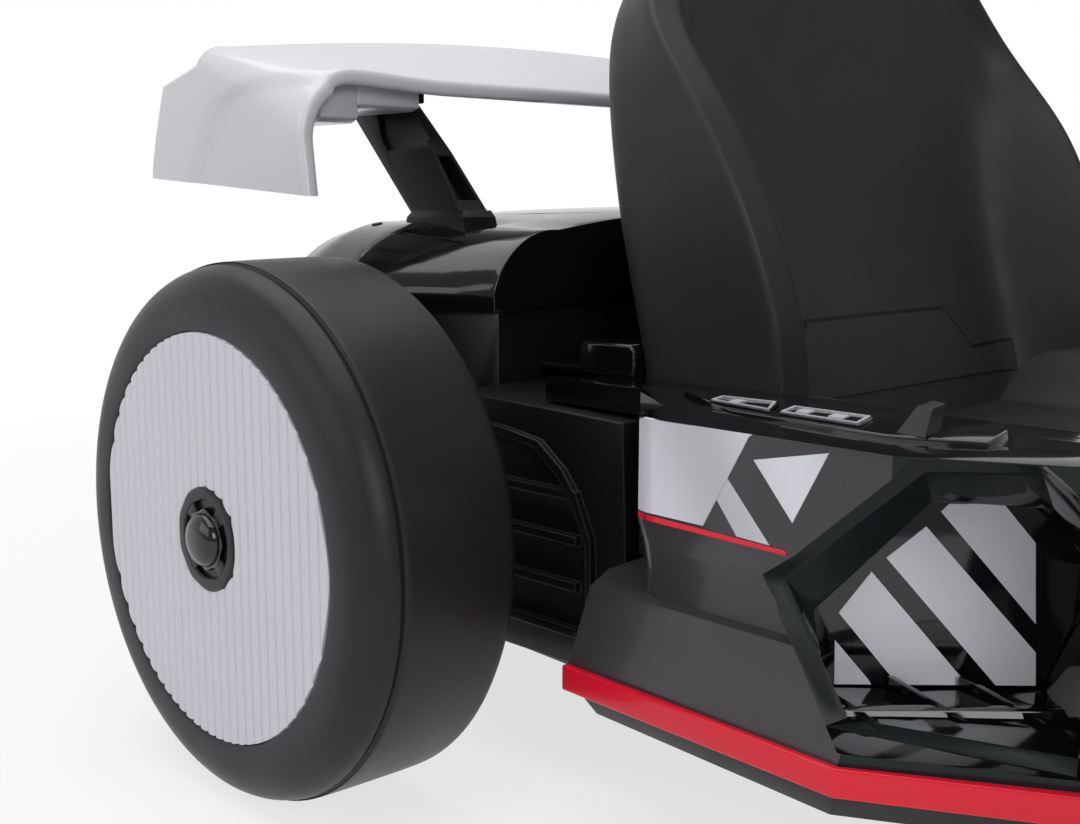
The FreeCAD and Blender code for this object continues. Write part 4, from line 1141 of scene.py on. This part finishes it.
# On the hood: across, behind the axle
HOOD_FILMS = (
    ("hood_bar", "silver_film", ((-16.0, -686.0), (-40.0, -686.0), (-66.0, -848.0), (-46.0, -848.0))),
    ("hood_block", "silver_film", ((-52.0, -686.0), (-112.0, -686.0), (-86.0, -820.0), (-73.0, -820.0))),
    ("hood_line", "stripe_red", ((-4.0, -686.0), (-10.0, -686.0), (-40.0, -848.0), (-34.0, -848.0))),
)
# On the rear wall: across, height
REAR_LINE = ((-168.0, 206.0), (168.0, 206.0), (168.0, 202.5), (-168.0, 202.5))


def paired_films(rows, target, place, toward):
    for name, look, outline in rows:
        mesh = laid_on(name, target, [place(a, b) for a, b in outline], Vector(toward))
        slot_name = "silver_plate" if look == "silver_film" else look
        paired_piece(name, mesh, "chassis", slot_name, look=look)


class KART_OT_livery(bpy.types.Operator):
    """Silver panels and red lines on both pods, the hood and the rear wall"""
    bl_idname = "kart.livery"
    bl_label = "Livery"

    def execute(self, context):
        paired_films(POD_FILMS, "pod_right_shell", lambda y, z: spot(-306, y, z), (1, 0, 0))
        paired_films(HOOD_FILMS, "nose_shell", lambda x, y: spot(x, y, 240), (0, 0, -1))
        mesh = laid_on("rear_line", "drive_box_shell", [spot(x, 150, z) for x, z in REAR_LINE],
                       Vector((0, -1, 0)), cell=0.02)
        new_piece("rear_line", mesh, "chassis", "stripe_red")
        return {"FINISHED"}


# Switches on the right pod: top of the buttons, then outlines as across, behind the axle
BUTTON_TOP = 214.0
BUTTONS = (
    ((240.2, -200.6), (252.4, -203.8), (257.6, -239.6), (237.6, -228.6)),
    ((242.4, -241.6), (259.2, -246.8), (261.6, -286.6), (243.2, -280.4)),
)
SYMBOLS = (
    ((244.0, -211.0), (252.0, -213.0), (252.8, -219.0), (243.8, -217.0)),
    ((246.5, -249.0), (255.5, -251.5), (256.0, -258.0), (247.0, -255.5)),
    ((247.5, -266.0), (256.5, -268.5), (257.0, -276.0), (248.0, -273.5)),
)
FRAME_WIDTH, FRAME_HEIGHT, SYMBOL_HEIGHT = 1.5, 0.5, 0.4


class KART_OT_switches(bpy.types.Operator):
    """Silver frames and plain symbols on the two buttons"""
    bl_idname = "kart.switches"
    bl_label = "Switches"

    def execute(self, context):
        name = "switch_frames"
        meshes = []
        for rows in BUTTONS:
            middle = spot(-sum(x for x, _ in rows) / 4, sum(y for _, y in rows) / 4, BUTTON_TOP)
            corners = [spot(-x, y, BUTTON_TOP) for x, y in rows]
            inner = [corner + (middle - corner).normalized() * FRAME_WIDTH * MM for corner in corners]
            for i, corner in enumerate(corners):
                outline = [corner, corners[i - 1], inner[i - 1], inner[i]]
                meshes.append(extruded(name, outline, Vector((0, 0, FRAME_HEIGHT * MM))))
        for rows in SYMBOLS:
            outline = [spot(-x, y, BUTTON_TOP) for x, y in rows]
            meshes.append(extruded(name, outline, Vector((0, 0, SYMBOL_HEIGHT * MM))))
        new_piece(name, joined(name, meshes), "chassis", "button_silver")
        return {"FINISHED"}


# Steering wheel in mm: radius of the rim, distance of its flat foot, radii of the grip, boss and pad
RIM_R, FLAT_FOOT, GRIP_R, BOSS_R, PAD_R = 112.0, 84.0, 11.6, 30.0, 21.0


def rim_path():
    """Across and up places round the steering wheel's rim, with soft turns into its flat foot."""
    first = math.asin(FLAT_FOOT / RIM_R)
    # Room for the soft turns: an angle off the arc, and a length off the foot
    off_arc, off_foot = 0.16, 14.0
    start, end = off_arc - first, math.pi + first - off_arc
    arc = [(RIM_R * math.cos(a), RIM_R * math.sin(a)) for a in (mixed(start, end, i / 72) for i in range(73))]
    corner = RIM_R * math.cos(first)
    foot = [(mixed(off_foot - corner, corner - off_foot, i / 10), -FLAT_FOOT) for i in range(11)]
    turn_in = [(-corner - 1.5, 10.0 - FLAT_FOOT), (5.0 - corner, 2.6 - FLAT_FOOT)]
    return arc + turn_in + foot + [(-x, y) for x, y in reversed(turn_in)]


class KART_OT_steering(bpy.types.Operator):
    """Steering wheel with a soft grip, spokes and hub"""
    bl_idname = "kart.steering"
    bl_label = "Steering wheel"

    def execute(self, context):
        joint = next(j for j in frame["joints"] if j["name"] == "steering_turn")
        hub = Vector(joint["pos_m"])
        normal = Vector(joint["axis"]).normalized()
        across = Vector((1, 0, 0))
        up = normal.cross(across)
        if up.z < 0:
            up = -up

        def at(x, y, out=0.0):
            return hub + (across * x + up * y + normal * out) * MM

        def disc(name, radius, out, height, bevel):
            outline = [at(radius * math.cos(a), radius * math.sin(a), out) for a in round_turn(48)]
            return extruded(name, outline, normal * height * MM, bevel)

        grip = tube("wheel_grip", [at(x, y) for x, y in rim_path()], normal, GRIP_R * MM)
        new_piece("wheel_grip", grip, "steering", "grip_black", ["steering_wheel"])
        parts = []
        for turn, reach in ((0.0, RIM_R), (math.pi, RIM_R), (1.5 * math.pi, FLAT_FOOT)):
            ca, sa = math.cos(turn), math.sin(turn)
            rows = ((18.0, -17.0), (reach - 6.0, -11.0), (reach - 6.0, 11.0), (18.0, 17.0))
            outline = [at(x * ca - y * sa, x * sa + y * ca, -5.0) for x, y in rows]
            parts.append(extruded("wheel_spokes", outline, normal * 8.0 * MM, 0.0022))
        parts.append(disc("wheel_spokes", BOSS_R, -13.5, 21.0, 0.0025))
        new_piece("wheel_spokes", joined("wheel_spokes", parts), "steering", "satin_black")
        new_piece("wheel_pad", disc("wheel_pad", PAD_R, 7.0, 1.0, 0.0006), "steering", "silver_plate")
        return {"FINISHED"}


# Screws

def screw_group():
    """Round-headed screws with a cross recess, one on each point, turned along its facing attribute."""
    group, tree, given = node_group("Screws", (
        ("Head radius", "Float", 0.004), ("Head height", "Float", 0.002), ("Material", "Material", None)))
    radius, height = given["Head radius"], given["Head height"]
    head = tree.node("GeometryNodeMeshCylinder", {
        "Vertices": 20, "Radius": radius, "Depth": tree.times(height, 2.0)}, fill_type="NGON")
    cross = tree.node("GeometryNodeMeshBoolean", {"Mesh 1": head.outputs["Mesh"]}, operation="DIFFERENCE")
    for long_axis, short_axis in (("X", "Y"), ("Y", "X")):
        size = tree.node("ShaderNodeCombineXYZ", {
            long_axis: tree.times(radius, 1.25), short_axis: tree.times(radius, 0.28), "Z": height})
        bar = tree.node("GeometryNodeMeshCube", {"Size": size.outputs[0]})
        lift = tree.node("ShaderNodeCombineXYZ", {"Z": height})
        raised = tree.node("GeometryNodeTransform", {
            "Geometry": bar.outputs["Mesh"], "Translation": lift.outputs[0]})
        tree.fill(cross, {"Mesh 2": raised.outputs[0]})
    facing = tree.node("GeometryNodeInputNamedAttribute", {"Name": "facing"}, data_type="FLOAT_VECTOR")
    turn = tree.node("FunctionNodeAlignRotationToVector", {"Vector": facing.outputs["Attribute"]}, axis="Z")
    copies = tree.node("GeometryNodeInstanceOnPoints", {
        "Points": given["Geometry"], "Instance": cross.outputs["Mesh"], "Rotation": turn.outputs["Rotation"]})
    close_tree(tree, copies.outputs[0], given["Material"])
    return group


def pointed(name, rows):
    """Base mesh of bare points, each with the direction that its screw faces."""
    mesh = bpy.data.meshes.new(name)
    mesh.from_pydata([place for place, facing in rows], [], [])
    layer = mesh.attributes.new("facing", "FLOAT_VECTOR", "POINT")
    for item, (place, facing) in zip(layer.data, rows):
        item.vector = facing
    return mesh


def screw_rows():
    """Piece, start and direction of each screw: the cover's sides and the drive box's rear wall."""
    down = Vector((0, 0, -1))
    ahead = Vector((0, -1, 0))
    rows = []
    for x in (-1, 1):
        rows += [("drive_cover_shell", spot(214 * x, y, 340), down) for y in (44, 92)]
        rows += [("drive_box_shell", spot(reach * x, 180, z), ahead)
                 for reach, z in ((176, 96), (176, 222), (60, 222))]
    return rows


class KART_OT_screws(bpy.types.Operator):
    """Cross-head screws on the cover and the rear wall"""
    bl_idname = "kart.screws"
    bl_label = "Screws"

    def execute(self, context):
        sunk = 0.8 * MM
        spots = []
        for target, start, inward in screw_rows():
            place, facing = skin_of(target).ray_cast(start, inward)[:2]
            if place is None:
                raise RuntimeError("a screw misses " + target)
            spots.append((place - facing * sunk, facing))
        mesh = grown(screw_group(), pointed("body_screws", spots), {
            "Head radius": 0.0034, "Head height": 0.0014, "Material": finish("dark_metal")})
        shade(mesh, 35.0)
        new_piece("body_screws", mesh, "chassis", "dark_metal")
        return {"FINISHED"}


class KART_PT_panel(bpy.types.Panel):
    """Lists the kart's steps in the sidebar"""
    bl_idname = "KART_PT_panel"
    bl_label = "Kart"
    bl_space_type = "VIEW_3D"
    bl_region_type = "UI"
    bl_category = "Kart"

    def draw(self, context):
        for step in STEPS:
            self.layout.operator(step.bl_idname)


GROUPS = (KartSizes, KartColours, StageSettings)
STEPS = (
    KART_OT_stage, KART_OT_panels, KART_OT_mechanism, KART_OT_tyres, KART_OT_wheels, KART_OT_hubs,
    KART_OT_seat, KART_OT_wing, KART_OT_livery, KART_OT_intake, KART_OT_switches, KART_OT_steering,
    KART_OT_screws,
)


def register():
    for made in GROUPS + STEPS + (KART_PT_panel,):
        bpy.utils.register_class(made)
    bpy.types.Scene.kart_sizes = bpy.props.PointerProperty(type=KartSizes)
    bpy.types.Scene.kart_colours = bpy.props.PointerProperty(type=KartColours)
    bpy.types.Scene.kart_stage = bpy.props.PointerProperty(type=StageSettings)


def unregister():
    del bpy.types.Scene.kart_stage
    del bpy.types.Scene.kart_colours
    del bpy.types.Scene.kart_sizes
    for made in reversed(GROUPS + STEPS + (KART_PT_panel,)):
        bpy.utils.unregister_class(made)


def main():
    register()
    for step in STEPS:
        group, name = step.bl_idname.split(".")
        getattr(getattr(bpy.ops, group), name)()


if __name__ == "__main__":
    main()
